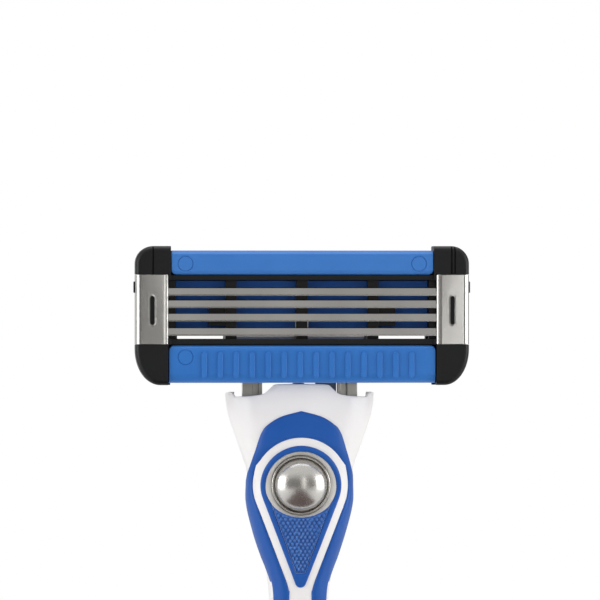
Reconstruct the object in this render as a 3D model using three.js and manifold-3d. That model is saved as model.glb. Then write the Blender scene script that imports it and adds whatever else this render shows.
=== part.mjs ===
// A manual wet-shave razor: a slim moulded handle with a sprung release button, and a four-blade
// cartridge that pivots on a silver connector at the top of the neck. Millimetres, +Z up the handle,
// the blades face -Y, X is the blades' length. The origin is the centre of the flat butt.
import * as THREE from "three";
import { mergeVertices } from "three/addons/utils/BufferGeometryUtils.js";
import Module from "manifold-3d";

const wasm = await Module();
wasm.setup();

// ---- Driving dimensions ----
// Handle
const neckTop = 122.8; // butt to the top of the neck's front plate
const neckLength = 27; // from the slim waist up to neckTop
const headForward = 18.4; // how far the S-shaped handle carries the head forward of the butt
const wall = 1.4; // of the moulded handle shells
const squareness = 2.5; // exponent of the handle's rounded section: 2 is an ellipse
const partingShift = 0.6; // the parting line lies this far behind the centreline
const endCapHeight = 9;
const spigotLength = 4; // of the end cap, inside the shells
const backCoverDrop = 3.3; // the back cover's top lies this far below neckTop
const gripProud = 0.3; // the rubber stands this far out of the shell
const gripSeat = 0.6; // and this deep in it
const seatClearance = 0.1; // round every moulding that is set into another
const coreRadius = 2.2;
const rearGripHalf = 3.2;

// Front of the grip
const buttonDrop = 12.75; // neckTop down to the button's centre
const buttonTravel = 1.0;
const dishHalfWidth = 4.47;
const dishLowerHeight = 3.75;
const dishSet = 0.2; // the dish's centre lies this far below the button's
const guideDepth = 2.8; // from the centreline forward to the floor of the button's well
const guideRoof = 0.7; // thickness of that floor
const dishFlare = 0.4; // how far past the front face the dish's cone would run at its full width
const bezelRadius = 3.71;
const bezelWall = 0.35;
const domeHeight = 1.9;
const stemRadius = 0.8;
const innerRingRadius = 5.0;
const whiteRingWidth = 1.0;
const teardropLength = 12.2; // between the centres of the teardrop's two rounds
const teardropTip = 0.7;
const padTopHalf = 3.3; // at padTopDrop below the button's centre
const padTopDrop = 3.4;
const padFootHalf = 0.52;
const padDrop = 11.05; // button centre to the pad's foot

// Head: arms, connector, ejector, plunger
const armInner = 4.75;
const armWidth = 2.5;
const armDepth = 1.6;
const armGroove = 0.8;
const armGrooveDepth = 0.7;
const armLand = 0.4; // from the arm's inner edge to its groove
const connectorHalf = 8.1;
const noseRadius = 1.8;
const connectorRear = 1.5;
const connectorDrop = 3.2; // pivot axis down to the connector's underside
const armSocketDepth = 1.8;
const runningGap = 0.1; // between pieces that slide past each other
const pinRadius = 0.9;
const pinClearance = 0.06;
const earRadius = 2.0;
const earWidth = 1.4;
const ejectorHalf = 2.6;
const ejectorLift = 1.4;
const plungerRadius = 0.75;
const plungerSetback = 2.65; // behind the pivot axis
const camInner = 2.1;
const camOuter = 3.2;
const middleRibWidth = 1.44;

// Cartridge
const cartridgeWidth = 41.8;
const cartridgeHeight = 17.4;
const cartridgeDepth = 4.7;
const cartridgeGap = 0.15; // the guard's lower edge clears the neck's front plate by this
const pivotRise = 5.0; // cartridge bottom to the pivot axis
const pivotSetback = 2.8; // cartridge back to the pivot axis
const capWidth = 4.45; // black end of the frame beside the strip
const stripInset = 0.56;
const stripHeight = 3.07;
const barHeight = 0.64;
const guardInset = 0.27;
const guardHeight = 4.8;
const guardRibMargin = 3; // plain guard left at each end of the row
const guardRibPitch = 2.0;
const guardRibWidth = 0.65;
const guardRibShift = 0.7; // the row of ribs is centred this far towards +X
const bladeCount = 4;
const bladeInset = 3.6; // cartridge end to the blades' ends
const bladeBand = 1.05; // height of a blade as seen from the front
const bladeLean = THREE.MathUtils.degToRad(23);
const bladeThickness = 0.12;
const bladeTopGap = 0.87;
const bladeBottomGap = 0.49;
const bladeSpread = 0.08; // each gap between blades grows by this share towards the guard
const clipWidth = 4.06;
const clipHeight = 8.68;
const clipHook = 3.2; // the clip's leg behind the frame, from the end inwards
const clipSlotInset = 2.12;
const clipSlotLength = 3.6;
const clipSlotWidth = 0.6;
const sheet = 0.3;
const sheetGap = 0.05;
const clipHookGap = 0.4; // left beyond the end of the clip's leg

// ---- Places worked out from them ----
const waist = neckTop - neckLength;
const cartridgeBottom = neckTop + cartridgeGap - guardInset;
const pivotY = -headForward;
const pivotZ = cartridgeBottom + pivotRise;
const backY = pivotY - pivotSetback;
const frontY = backY - cartridgeDepth;
const halfWidth = cartridgeWidth / 2;
const bayHalf = halfWidth - capWidth; // half the width between the black ends
const guardRibs = Math.floor((2 * (bayHalf - guardRibMargin)) / guardRibPitch) + 1;
const guardTop = cartridgeBottom + guardInset + guardHeight;
const stripTop = cartridgeBottom + cartridgeHeight - stripInset;
const stripBottom = stripTop - stripHeight;
const windowBottom = guardTop + barHeight;
const windowTop = stripBottom - barHeight;
const buttonZ = neckTop - buttonDrop;
const slotZ = (windowTop + windowBottom) / 2 - 0.1;
const connectorBottom = pivotZ - connectorDrop;

// ---- Solids ----
function solid(geometry) {
  geometry.deleteAttribute("normal");
  geometry.deleteAttribute("uv");
  const merged = mergeVertices(geometry, 1e-4);
  return new wasm.Manifold(
    new wasm.Mesh({
      numProp: 3,
      vertProperties: merged.attributes.position.array,
      triVerts: new Uint32Array(merged.index.array),
    }),
  );
}

function box(x0, x1, y0, y1, z0, z1) {
  const geometry = new THREE.BoxGeometry(x1 - x0, y1 - y0, z1 - z0);
  geometry.translate((x0 + x1) / 2, (y0 + y1) / 2, (z0 + z1) / 2);
  return solid(geometry);
}

// A shape drawn as seen from the front (X, Z), made thick from y0 back to y1.
function frontPlate(shape, y0, y1, curveSegments = 6) {
  const geometry = new THREE.ExtrudeGeometry(shape, {
    depth: y1 - y0,
    bevelEnabled: false,
    curveSegments,
  });
  geometry.rotateX(Math.PI / 2);
  geometry.translate(0, y1, 0);
  return solid(geometry);
}

// A section drawn in (Y, Z), carried along X from x0 to x1.
function bar(section, x0, x1, curveSegments = 8) {
  const geometry = new THREE.ExtrudeGeometry(section, {
    depth: x1 - x0,
    bevelEnabled: false,
    curveSegments,
  });
  const toX = new THREE.Matrix4().makeBasis(
    new THREE.Vector3(0, 1, 0),
    new THREE.Vector3(0, 0, 1),
    new THREE.Vector3(1, 0, 0),
  );
  geometry.applyMatrix4(toX);
  geometry.translate(x0, 0, 0);
  return solid(geometry);
}

// A section drawn in (X, Y), carried up from z0 to z1.
function post(section, z0, z1, curveSegments = 4) {
  const geometry = new THREE.ExtrudeGeometry(section, {
    depth: z1 - z0,
    bevelEnabled: false,
    curveSegments,
  });
  geometry.translate(0, 0, z0);
  return solid(geometry);
}

// A turned piece: [radius, along] pairs, revolved, with "along" pointing out of the front (-Y).
function turnedForward(profile, z, segments = 32) {
  const points = profile.map(([r, along]) => new THREE.Vector2(r, along));
  const geometry = new THREE.LatheGeometry(points, segments);
  geometry.rotateX(Math.PI);
  geometry.translate(0, 0, z);
  return solid(geometry);
}

function uprightPin(radius, y, z0, z1, segments = 20) {
  const geometry = new THREE.CylinderGeometry(radius, radius, z1 - z0, segments);
  geometry.rotateX(Math.PI / 2);
  geometry.translate(0, y, (z0 + z1) / 2);
  return solid(geometry);
}

function crossPin(radius, y, z, x0, x1, segments = 32) {
  const geometry = new THREE.CylinderGeometry(radius, radius, x1 - x0, segments);
  geometry.rotateZ(Math.PI / 2);
  geometry.translate((x0 + x1) / 2, y, z);
  return solid(geometry);
}

function polygon(points) {
  return new THREE.Shape(points.map(([u, v]) => new THREE.Vector2(u, v)));
}

function mirrored(manifold) {
  return manifold.mirror([1, 0, 0]);
}

function union(...solids) {
  return solids.reduce((sum, piece) => sum.add(piece));
}

// ---- The handle's body ----
// Each station: height, half width, depth in front of the centreline, depth behind it.
const stations = [
  [0, 3.9, 3.6, 3.6],
  [waist * 0.06, 4.8, 4.4, 4.4],
  [waist * 0.3, 5.7, 5.2, 5.2],
  [waist * 0.6, 5.5, 5.3, 5.2],
  [waist * 0.82, 4.5, 4.8, 4.9],
  [waist, 3.75, 4.5, 4.8],
  [neckTop - 23, 4.3, 4.6, 5.2],
  [neckTop - 19, 5.55, 4.8, 5.5],
  [neckTop - 15, 6.5, 4.9, 5.6],
  [neckTop - 11.3, 6.6, 4.9, 5.6],
  [neckTop - 7.5, 7.8, 4.8, 5.6],
  [neckTop - 3.5, 9.1, 4.6, 5.5],
  [neckTop + 1, 9.5, 4.4, 5.4],
];
const stationCurve = new THREE.CubicInterpolant(
  stations.map((s) => s[0]),
  stations.flatMap((s) => s.slice(1)),
  3,
);

function bodyAt(z) {
  const [width, front, back] = stationCurve.evaluate(z);
  return { width, front, back };
}

// The centreline's place in Y: a half wave from the butt to the head.
function centreY(z) {
  const share = THREE.MathUtils.clamp(z / neckTop, 0, 1);
  return (-headForward * (1 - Math.cos(Math.PI * share))) / 2;
}

// Heights of the lofted rings: wide apart in the grip, close in the neck.
const loftHeights = [];
const gripRings = 11;
const neckRings = 12;
const loftTop = neckTop + 1;
for (let i = 0; i < gripRings; i++) loftHeights.push((waist * i) / gripRings);
for (let i = 0; i <= neckRings; i++) loftHeights.push(waist + ((loftTop - waist) * i) / neckRings);

function bend(geometry, place) {
  const p = geometry.getAttribute("position");
  for (let i = 0; i < p.count; i++) {
    const ring = Math.round((p.getY(i) + 0.5) * (loftHeights.length - 1));
    const [x, y] = place(p.getX(i), p.getZ(i), loftHeights[ring]);
    p.setXYZ(i, x, y, loftHeights[ring]);
  }
  return solid(geometry);
}

const rounding = (c) => Math.sign(c) * Math.abs(c) ** (2 / squareness);

// The handle's outer form, grown or shrunk by offset.
function handleForm(offset) {
  const geometry = new THREE.CylinderGeometry(1, 1, 1, 32, loftHeights.length - 1);
  return bend(geometry, (u, v, z) => {
    const { width, front, back } = bodyAt(z);
    const depth = (v > 0 ? front : back) + offset;
    return [(width + offset) * rounding(u), centreY(z) - depth * rounding(v)];
  });
}

// A round bar that follows the centreline.
function centreRod(radius) {
  const geometry = new THREE.CylinderGeometry(1, 1, 1, 16, loftHeights.length - 1);
  return bend(geometry, (u, v, z) => [radius * u, centreY(z) - radius * v]);
}

// A curved slab that follows the centreline from one distance behind it to another.
function centreSlab(from, to) {
  const reach = 15;
  const geometry = new THREE.BoxGeometry(2, 1, 2, 1, loftHeights.length - 1, 1);
  return bend(geometry, (u, v, z) => [reach * u, centreY(z) + (v > 0 ? from : to)]);
}

const far = 40; // reach of the cutting slabs
const above = neckTop + far; // a height that clears the whole razor
const body = handleForm(0);
const hollow = handleForm(-wall);
const frontHalf = centreSlab(-far, partingShift);
const rearHalf = centreSlab(partingShift + sheetGap, far);
const betweenHeights = (z0, z1) => box(-far, far, -far, far, z0, z1);

// ---- Outlines on the front of the grip ----
function teardrop(grow) {
  const big = innerRingRadius + grow;
  const tip = teardropTip + grow;
  const tipZ = buttonZ - teardropLength;
  const lean = Math.asin((big - tip) / teardropLength);
  const shape = new THREE.Shape();
  shape.absarc(0, buttonZ, big, -lean, Math.PI + lean, false);
  shape.absarc(0, tipZ, tip, Math.PI + lean, 2 * Math.PI - lean, false);
  return shape;
}

function dishOutline(grow) {
  const z = buttonZ - dishSet;
  const half = dishHalfWidth + grow;
  const shape = new THREE.Shape();
  shape.absarc(0, z, half, 0, Math.PI, false);
  shape.absellipse(0, z, half, dishLowerHeight + grow, Math.PI, 2 * Math.PI, false);
  return shape;
}

function padOutline(grow) {
  const top = buttonZ - dishSet - 1;
  const foot = buttonZ - padDrop - grow;
  const slope = (padTopHalf - padFootHalf) / (padDrop - padTopDrop);
  const topHalf = padFootHalf + grow + slope * (top - foot);
  return polygon([
    [-padFootHalf - grow, foot],
    [padFootHalf + grow, foot],
    [topHalf, top],
    [-topHalf, top],
  ]);
}

// The blue rubber's outer edge, right half, from the apex down to the waist, then the legs.
const gripEdge = [
  [0, neckTop - 3.4],
  [2.4, neckTop - 4.05],
  [4.1, neckTop - 5.05],
  [4.95, neckTop - 6.1],
  [5.75, neckTop - 8.5],
  [6.3, neckTop - 10.3],
  [9.0, neckTop - 12],
  [9.0, neckTop - 19],
  [4.6, neckTop - 23.4],
  [3.3, neckTop - 26.5],
];
const legEdge = [
  [3.9, waist * 0.88],
  [4.5, waist * 0.7],
  [4.6, waist * 0.4],
  [4.1, waist * 0.22],
  [2.6, waist * 0.145],
];
const legInner = [
  [1.4, waist],
  [2.0, waist * 0.86],
  [2.6, waist * 0.65],
  [2.7, waist * 0.4],
  [2.1, waist * 0.25],
  [0.9, waist * 0.205],
];

function outerGripOutline(grow) {
  const right = [...gripEdge, ...legEdge].map(([x, z], i) => [x + grow, i === 0 ? z + grow : z]);
  const foot = [0, waist * 0.13 - grow];
  const left = right.map(([x, z]) => [-x, z]).reverse();
  right[0][0] = 0;
  return polygon([...right, foot, ...left.slice(0, -1)].reverse());
}

function outerGripHole(shrink) {
  const big = innerRingRadius + whiteRingWidth - shrink;
  const lean = THREE.MathUtils.degToRad(21);
  const arch = new THREE.Path();
  arch.absarc(0, buttonZ, big, -lean, Math.PI + lean, false);
  const left = legInner.map(([x, z]) => new THREE.Vector2(shrink - x, z));
  const right = legInner.map(([x, z]) => new THREE.Vector2(x - shrink, z)).reverse();
  return new THREE.Path([...arch.getPoints(20), ...left, ...right]);
}

function outerGripShape(grow) {
  const shape = outerGripOutline(grow);
  shape.holes.push(outerGripHole(grow));
  return shape;
}

// A skin that follows the handle's surface: proud of it, and set in by the seat's depth.
const proudForm = handleForm(gripProud);
const seatForm = handleForm(-gripSeat);
const seatFloor = handleForm(-gripSeat - seatClearance);
const skin = (shape, half) =>
  frontPlate(shape, -far, far).intersect(proudForm).subtract(seatForm).intersect(half);
const seat = (shape) => frontPlate(shape, -far, far).subtract(seatFloor);

// ---- Handle shells ----
function scoopOutline() {
  const z = (drop) => neckTop - drop;
  const wing = 8.4;
  const right = [
    [2.9, z(0.03)],
    [3.5, z(0.12)],
    [3.8, z(0.35)],
    [4.3, z(0.82)],
    [4.8, z(1.22)],
    [5.6, z(1.4)],
    [7.1, z(1.56)],
    [wing, z(1.62)],
    [wing, z(1.15)],
    [wing + 0.5, z(1.02)],
    [12, z(1.15)],
    [12, z(-4)],
  ];
  const left = right.map(([x, height]) => [-x, height]).reverse();
  return polygon([...left, [0, z(0)], ...right]);
}

function rearGripOutline(grow) {
  const half = rearGripHalf + grow;
  const shape = new THREE.Shape();
  shape.absarc(0, waist * 0.86, half, 0, Math.PI, false);
  shape.absarc(0, waist * 0.3, half, Math.PI, 2 * Math.PI, false);
  return shape;
}

const guideFloorY = centreY(buttonZ) - guideDepth;
const frontFaceY = centreY(buttonZ) - bodyAt(buttonZ).front;

const frontShell = body
  .intersect(frontHalf)
  .subtract(hollow)
  .subtract(frontPlate(scoopOutline(), -far, far))
  .subtract(seat(outerGripShape(seatClearance)))
  .subtract(seat(teardrop(seatClearance)))
  .subtract(frontPlate(dishOutline(seatClearance), -far, centreY(buttonZ)))
  .intersect(betweenHeights(endCapHeight, above));

const backCover = body
  .intersect(rearHalf)
  .subtract(hollow)
  .subtract(seat(rearGripOutline(seatClearance)))
  .intersect(betweenHeights(endCapHeight, neckTop - backCoverDrop));

const innerForm = handleForm(-wall - seatClearance);
const endCap = body
  .intersect(betweenHeights(0, endCapHeight - sheetGap))
  .add(innerForm.intersect(betweenHeights(endCapHeight / 2, endCapHeight + spigotLength)));

const steelCore = centreRod(coreRadius).intersect(
  betweenHeights(endCapHeight + spigotLength + 1, waist * 0.87),
);

// ---- Grip inlays and the button ----
const outerGrip = skin(outerGripShape(0), frontHalf);
const rearGrip = skin(rearGripOutline(0), rearHalf);
const innerGrip = skin(teardrop(0), frontHalf)
  .subtract(frontPlate(dishOutline(seatClearance / 2), -far, far))
  .subtract(frontPlate(padOutline(seatClearance), -far, far));
const thumbPad = skin(padOutline(0), frontHalf).subtract(
  frontPlate(dishOutline(seatClearance / 2), -far, far),
);

// Distances along the button's axis are measured forward (-Y) from y = 0.
const guideFloor = -guideFloorY;
const dishRim = -frontFaceY + dishFlare;
const boreRadius = bezelRadius + 0.04;
const guideBore = turnedForward(
  [
    [0, guideFloor],
    [boreRadius, guideFloor],
    [boreRadius, dishRim - 1.5],
    [dishHalfWidth + 0.1, dishRim],
    [dishHalfWidth + 0.1, dishRim + 3],
    [0, dishRim + 3],
  ],
  buttonZ,
);
const buttonGuide = frontPlate(dishOutline(0), -far, guideFloorY + guideRoof)
  .intersect(handleForm(gripProud / 2))
  .subtract(guideBore)
  .subtract(
    turnedForward(
      [
        [0, 0],
        [stemRadius + runningGap, 0],
        [stemRadius + runningGap, far],
        [0, far],
      ],
      buttonZ,
      20,
    ),
  );

const bezelFoot = guideFloor + 0.05;
const bezelTop = dishRim - 1.15;
const buttonBezel = turnedForward(
  [
    [bezelRadius - bezelWall, bezelFoot],
    [bezelRadius, bezelFoot],
    [bezelRadius, bezelTop - 0.15],
    [bezelRadius - 0.15, bezelTop],
    [bezelRadius - bezelWall, bezelTop - 0.2],
    [bezelRadius - bezelWall, bezelFoot],
  ],
  buttonZ,
);

const domeRadius = bezelRadius - bezelWall - 0.05;
const domeBase = bezelTop - 0.25;
const buttonUnderside = guideFloor + buttonTravel + 0.25;
const domeProfile = [];
const domeSteps = 7;
for (let i = 0; i <= domeSteps; i++) {
  const angle = (Math.PI / 2) * (i / domeSteps);
  const radius = i === domeSteps ? 0 : domeRadius * Math.cos(angle);
  domeProfile.push([radius, domeBase + domeHeight * Math.sin(angle)]);
}
// The ejector's ramp turns the button's travel into lift: where it meets the axis, and its slope.
const rampY = pivotY - 0.2;
const rampSlope = ejectorLift / buttonTravel;

// What lies in front of the ramp and above a level, drawn from the side.
function rampRegion(behind, low) {
  const reach = 4;
  const y = rampY - behind;
  return polygon([
    [y - reach, buttonZ + reach * rampSlope],
    [y - reach, buttonZ - low],
    [y + low / rampSlope, buttonZ - low],
  ]);
}

const stem = turnedForward(
  [
    [0, -rampY - 2],
    [stemRadius, -rampY - 2],
    [stemRadius, buttonUnderside + 0.2],
    [0, buttonUnderside + 0.2],
  ],
  buttonZ,
  20,
).intersect(bar(rampRegion(0.1, 9), -2, 2));
const releaseButton = turnedForward(
  [[0, buttonUnderside], [domeRadius, buttonUnderside], ...domeProfile],
  buttonZ,
).add(stem);

const buttonSpring = turnedForward(
  [
    [1.3, guideFloor + 0.05],
    [2.0, guideFloor + 0.05],
    [2.0, buttonUnderside - 0.05],
    [1.3, buttonUnderside - 0.05],
    [1.3, guideFloor + 0.05],
  ],
  buttonZ,
  24,
);

// ---- Arms, ejector, chassis and plunger in the neck ----
const armTop = connectorBottom + armSocketDepth - runningGap;
const armFoot = buttonZ - 3.5;
const armNarrow = { inner: 2.85, outer: 4.75 };

function armPiece() {
  const outerX = armInner + armWidth;
  const shape = polygon([
    [armNarrow.inner, armFoot],
    [armNarrow.outer, armFoot],
    [armNarrow.outer, neckTop - 9.8],
    [outerX, neckTop - 5.3],
    [outerX, armTop],
    [armInner, armTop],
    [armInner, neckTop - 4.5],
    [armNarrow.inner, neckTop - 9],
  ]);
  const grooveX = armInner + armLand;
  const groove = box(
    grooveX,
    grooveX + armGroove,
    -far,
    pivotY - armDepth / 2 + armGrooveDepth,
    neckTop - 4.2,
    connectorBottom - 0.2,
  );
  return frontPlate(shape, pivotY - armDepth / 2, pivotY + armDepth / 2)
    .subtract(groove)
    .subtract(body.subtract(innerForm).intersect(betweenHeights(0, neckTop - 1)));
}

const fingerTop = connectorBottom - 0.3;
const fingerShoulder = connectorBottom - ejectorLift - 0.05;
const fingerInner = 2.0;
const fingerOuter = 4.1;
const ejectorFoot = buttonZ - 3.5;
const ejectorShape = polygon([
  [-ejectorHalf, ejectorFoot],
  [ejectorHalf, ejectorFoot],
  [ejectorHalf, neckTop - 5.2],
  [armInner - 0.15, neckTop - 3.6],
  [armInner - 0.15, fingerShoulder],
  [fingerOuter, fingerShoulder],
  [fingerOuter, fingerTop],
  [fingerInner, fingerTop],
  [fingerInner, neckTop - 3.2],
  [-ejectorHalf, neckTop - 3.2],
]);
const ejector = frontPlate(ejectorShape, pivotY - armDepth / 2, pivotY + armDepth / 2).subtract(
  bar(rampRegion(0, ejectorLift + stemRadius + 0.4), -stemRadius - 0.2, stemRadius + 0.2),
);

const plungerY = pivotY + plungerSetback;
const chassisFrontY = pivotY + 1.4;
const chassisTop = neckTop - 5.3;
const chassisFoot = armFoot - 1.5;
const springFoot = buttonZ - 2;
const springTop = buttonZ + 2.4;
const plungerTop = pivotZ + 0.1;
const headChassis = innerForm
  .intersect(
    union(
      box(-5.2, 5.2, chassisFrontY, far, chassisFoot, chassisTop),
      box(-5.2, 5.2, pivotY - 1, far, chassisFoot, armFoot - 0.1),
    ),
  )
  .subtract(uprightPin(plungerRadius + runningGap, plungerY, springFoot, neckTop));
const pivotPlunger = union(
  uprightPin(plungerRadius, plungerY, springTop + 0.05, plungerTop),
  uprightPin(plungerRadius * 0.55, plungerY, springFoot + 2.6, springTop + 0.1),
);
const plungerSpring = uprightPin(plungerRadius, plungerY, springFoot + 0.05, springTop).subtract(
  uprightPin(plungerRadius * 0.65, plungerY, springFoot - 1, springTop + 1),
);

// ---- The connector that the cartridge turns on ----
function connectorSection() {
  const meet = Math.acos(connectorRear / noseRadius);
  const section = new THREE.Shape();
  section.moveTo(pivotY - noseRadius, connectorBottom);
  section.lineTo(pivotY + connectorRear, connectorBottom);
  section.lineTo(pivotY + connectorRear, pivotZ + noseRadius * Math.sin(meet));
  section.absarc(pivotY, pivotZ, noseRadius, meet, Math.PI, false);
  return section;
}

const socketFront = pivotY - armDepth / 2 - runningGap;
const socketRear = pivotY + armDepth / 2 + runningGap;

function armSocket() {
  return box(
    armInner - runningGap,
    armInner + armWidth + runningGap,
    socketFront,
    socketRear,
    connectorBottom - 1,
    connectorBottom + armSocketDepth,
  );
}

const connectorPins = crossPin(
  pinRadius,
  pivotY,
  pivotZ,
  -connectorHalf - earWidth,
  connectorHalf + earWidth,
);
const fingerPocket = box(
  fingerInner - runningGap,
  fingerOuter + runningGap,
  socketFront,
  socketRear,
  connectorBottom - 1,
  connectorBottom + ejectorLift,
);
const dockingConnector = bar(connectorSection(), -connectorHalf, connectorHalf)
  .add(connectorPins)
  .subtract(armSocket())
  .subtract(mirrored(armSocket()))
  .subtract(fingerPocket);

// ---- Cartridge ----
const earInner = connectorHalf + runningGap;
const earOuter = earInner + earWidth;
const shelfY = frontY + 1.35; // the blade pack rests on this level
const ribBackY = shelfY + 0.85;
const barFrontY = frontY + 0.6;
const windowHalf = bayHalf - 0.55;
const bladeHalf = halfWidth - bladeInset;
const endRadius = 2.25;
const lowerRadiusX = 3.1;
const lowerRadiusZ = 4.5;

function frameOutline() {
  const top = cartridgeBottom + cartridgeHeight;
  const x = halfWidth;
  const shape = new THREE.Shape();
  shape.absarc(x - endRadius, top - endRadius, endRadius, 0, Math.PI / 2, false);
  shape.absarc(endRadius - x, top - endRadius, endRadius, Math.PI / 2, Math.PI, false);
  shape.absellipse(
    lowerRadiusX - x,
    cartridgeBottom + lowerRadiusZ,
    lowerRadiusX,
    lowerRadiusZ,
    Math.PI,
    1.5 * Math.PI,
    false,
  );
  shape.absellipse(
    x - lowerRadiusX,
    cartridgeBottom + lowerRadiusZ,
    lowerRadiusX,
    lowerRadiusZ,
    1.5 * Math.PI,
    2 * Math.PI,
    false,
  );
  return shape;
}

// A pivot ear and the rib it grows from, drawn from the side.
function earSection() {
  const low = pivotZ - earRadius;
  const wallY = guardPocketY + 0.1;
  const section = new THREE.Shape();
  section.moveTo(shelfY, windowTop + 0.2);
  section.lineTo(shelfY, windowBottom - 0.2);
  section.lineTo(wallY, windowBottom - 0.2);
  section.lineTo(wallY, low);
  section.lineTo(pivotY, low);
  section.absarc(pivotY, pivotZ, earRadius, -Math.PI / 2, Math.PI / 2, false);
  section.lineTo(ribBackY, pivotZ + earRadius);
  section.lineTo(ribBackY, windowTop + 0.2);
  return section;
}

// The middle rib and the curved cam finger that the plunger pushes on.
function camSection() {
  const tipAngle = THREE.MathUtils.degToRad(5);
  const section = new THREE.Shape();
  section.moveTo(shelfY, windowTop + 0.2);
  section.lineTo(shelfY, windowBottom - 0.2);
  section.lineTo(ribBackY, windowBottom - 0.2);
  section.lineTo(ribBackY, pivotZ + camInner);
  section.lineTo(pivotY, pivotZ + camInner);
  section.absarc(pivotY, pivotZ, camInner, Math.PI / 2, tipAngle, true);
  section.absarc(pivotY, pivotZ, camOuter, tipAngle, Math.PI / 2, false);
  section.lineTo(ribBackY, pivotZ + camOuter);
  section.lineTo(ribBackY, windowTop + 0.2);
  return section;
}

const middleRibHalf = middleRibWidth / 2;
const bayBottom = cartridgeBottom + guardInset;
const pocketY = frontY + 2.85; // floor of the strip's pocket
const guardPocketY = frontY + 3.25;
const pegFrontY = frontY + 1.3;
const pegBackY = frontY + 2.7;
const pegBottom = slotZ + 2.2;
const pegTop = pegBottom + 1.4;
const clipRecess = halfWidth - sheet - sheetGap;
const clipZ = (stripBottom + guardTop) / 2;

function frameEndCuts() {
  const grooveX = halfWidth - 2.1;
  const recess = clipHeight / 2 + sheetGap;
  const level = [clipZ - recess, clipZ + recess];
  return union(
    box(clipRecess, far, -far, pegFrontY, ...level),
    box(clipRecess, far, pegBackY, far, ...level),
    box(clipRecess, far, -far, far, level[0], pegBottom),
    box(clipRecess, far, -far, far, pegTop, level[1]),
    box(halfWidth - clipWidth - sheetGap, far, -far, frontY + 0.15, ...level),
    box(halfWidth - clipHook - clipHookGap, far, backY - sheetGap, far, ...level),
    box(grooveX, grooveX + 0.3, -far, frontY + 0.4, stripBottom, above),
  );
}

const seatBlock = box(earOuter - 0.1, earOuter + 2.1, shelfY + 0.25, ribBackY, slotZ - 2, slotZ + 0.4);
const peg = box(clipRecess - 1, halfWidth + 0.2, pegFrontY, pegBackY, pegBottom, pegTop);
const ear = bar(earSection(), earInner, earOuter, 10);
const cartridgeFrame = frontPlate(frameOutline(), frontY, backY)
  .subtract(box(-bayHalf, bayHalf, -far, far, 0, bayBottom))
  .subtract(box(-bayHalf, bayHalf, -far, far, stripTop, above))
  .subtract(box(-bayHalf, bayHalf, -far, pocketY, stripBottom, above))
  .subtract(box(-bayHalf - 0.3, bayHalf + 0.3, -far, guardPocketY, 0, guardTop))
  .subtract(box(-bayHalf, bayHalf, -far, barFrontY, guardTop - 0.1, stripBottom + 0.1))
  .subtract(box(-bladeHalf - 0.1, bladeHalf + 0.1, -far, shelfY, windowBottom, windowTop))
  .subtract(box(-windowHalf, windowHalf, -far, far, windowBottom, windowTop))
  .subtract(frameEndCuts())
  .subtract(mirrored(frameEndCuts()))
  .add(peg)
  .add(mirrored(peg))
  .add(ear)
  .add(mirrored(ear))
  .add(bar(camSection(), -middleRibHalf, middleRibHalf, 8))
  .add(seatBlock)
  .add(mirrored(seatBlock))
  .subtract(crossPin(pinRadius + pinClearance, pivotY, pivotZ, -earOuter - 1, earOuter + 1));

// Blue backing plate behind the blades, notched round the ribs that pass through it.
const plateFrontY = ribBackY + 0.1;
const plateBottom = windowBottom + 0.9;
const backPlate = box(
  -windowHalf + sheetGap,
  windowHalf - sheetGap,
  plateFrontY,
  plateFrontY + 0.7,
  plateBottom,
  windowTop - sheetGap,
)
  .subtract(box(earInner - 0.1, earOuter + 0.1, -far, far, 0, pivotZ + earRadius + 0.1))
  .subtract(box(-earOuter - 0.1, -earInner + 0.1, -far, far, 0, pivotZ + earRadius + 0.1))
  .subtract(box(-middleRibHalf - 0.1, middleRibHalf + 0.1, -far, far, 0, pivotZ + camOuter + 0.1));

function guardSection() {
  const back = guardPocketY - sheetGap;
  const face = frontY + 0.3;
  return polygon([
    [back, guardTop - sheetGap],
    [face + 0.15, guardTop - sheetGap],
    [face, guardTop - 0.3],
    [face, bayBottom + 1.0],
    [face + 0.3, bayBottom + 0.35],
    [face + 0.9, bayBottom],
    [back, bayBottom],
  ]);
}

function guardRib(x) {
  const half = guardRibWidth / 2;
  const shape = new THREE.Shape();
  shape.absarc(x, guardTop - 1 - half, half, 0, Math.PI, false);
  shape.absarc(x, bayBottom + 0.6 + half, half, Math.PI, 2 * Math.PI, false);
  return frontPlate(shape, frontY + 0.05, frontY + 0.5, 3);
}

let guardBar = bar(guardSection(), -bayHalf - 0.25, bayHalf + 0.25);
for (let i = 0; i < guardRibs; i++) {
  const x = guardRibShift + (i - (guardRibs - 1) / 2) * guardRibPitch;
  guardBar = guardBar.add(guardRib(x));
}

const lubricatingStrip = bar(
  polygon([
    [pocketY - sheetGap, stripTop],
    [frontY + 0.55, stripTop],
    [frontY + 0.15, stripTop - 0.45],
    [frontY + 0.15, stripBottom + sheetGap],
    [pocketY - sheetGap, stripBottom + sheetGap],
  ]),
  -bayHalf + sheetGap,
  bayHalf - sheetGap,
);

// A point on the blades' slanted section: u up the blade from its edge, v behind its face.
const edgeY = frontY + 0.35;
function onBlade(edgeZ, u, v) {
  return [
    edgeY + u * Math.sin(bladeLean) + v * Math.cos(bladeLean),
    edgeZ + u * Math.cos(bladeLean) - v * Math.sin(bladeLean),
  ];
}

const bladeWidth = bladeBand / Math.cos(bladeLean);

function bladePiece(edgeZ) {
  const section = polygon([
    onBlade(edgeZ, 0, 0),
    onBlade(edgeZ, bladeWidth, 0),
    onBlade(edgeZ, bladeWidth, bladeThickness),
    onBlade(edgeZ, 0.25, bladeThickness),
  ]);
  return bar(section, -bladeHalf, bladeHalf);
}

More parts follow.
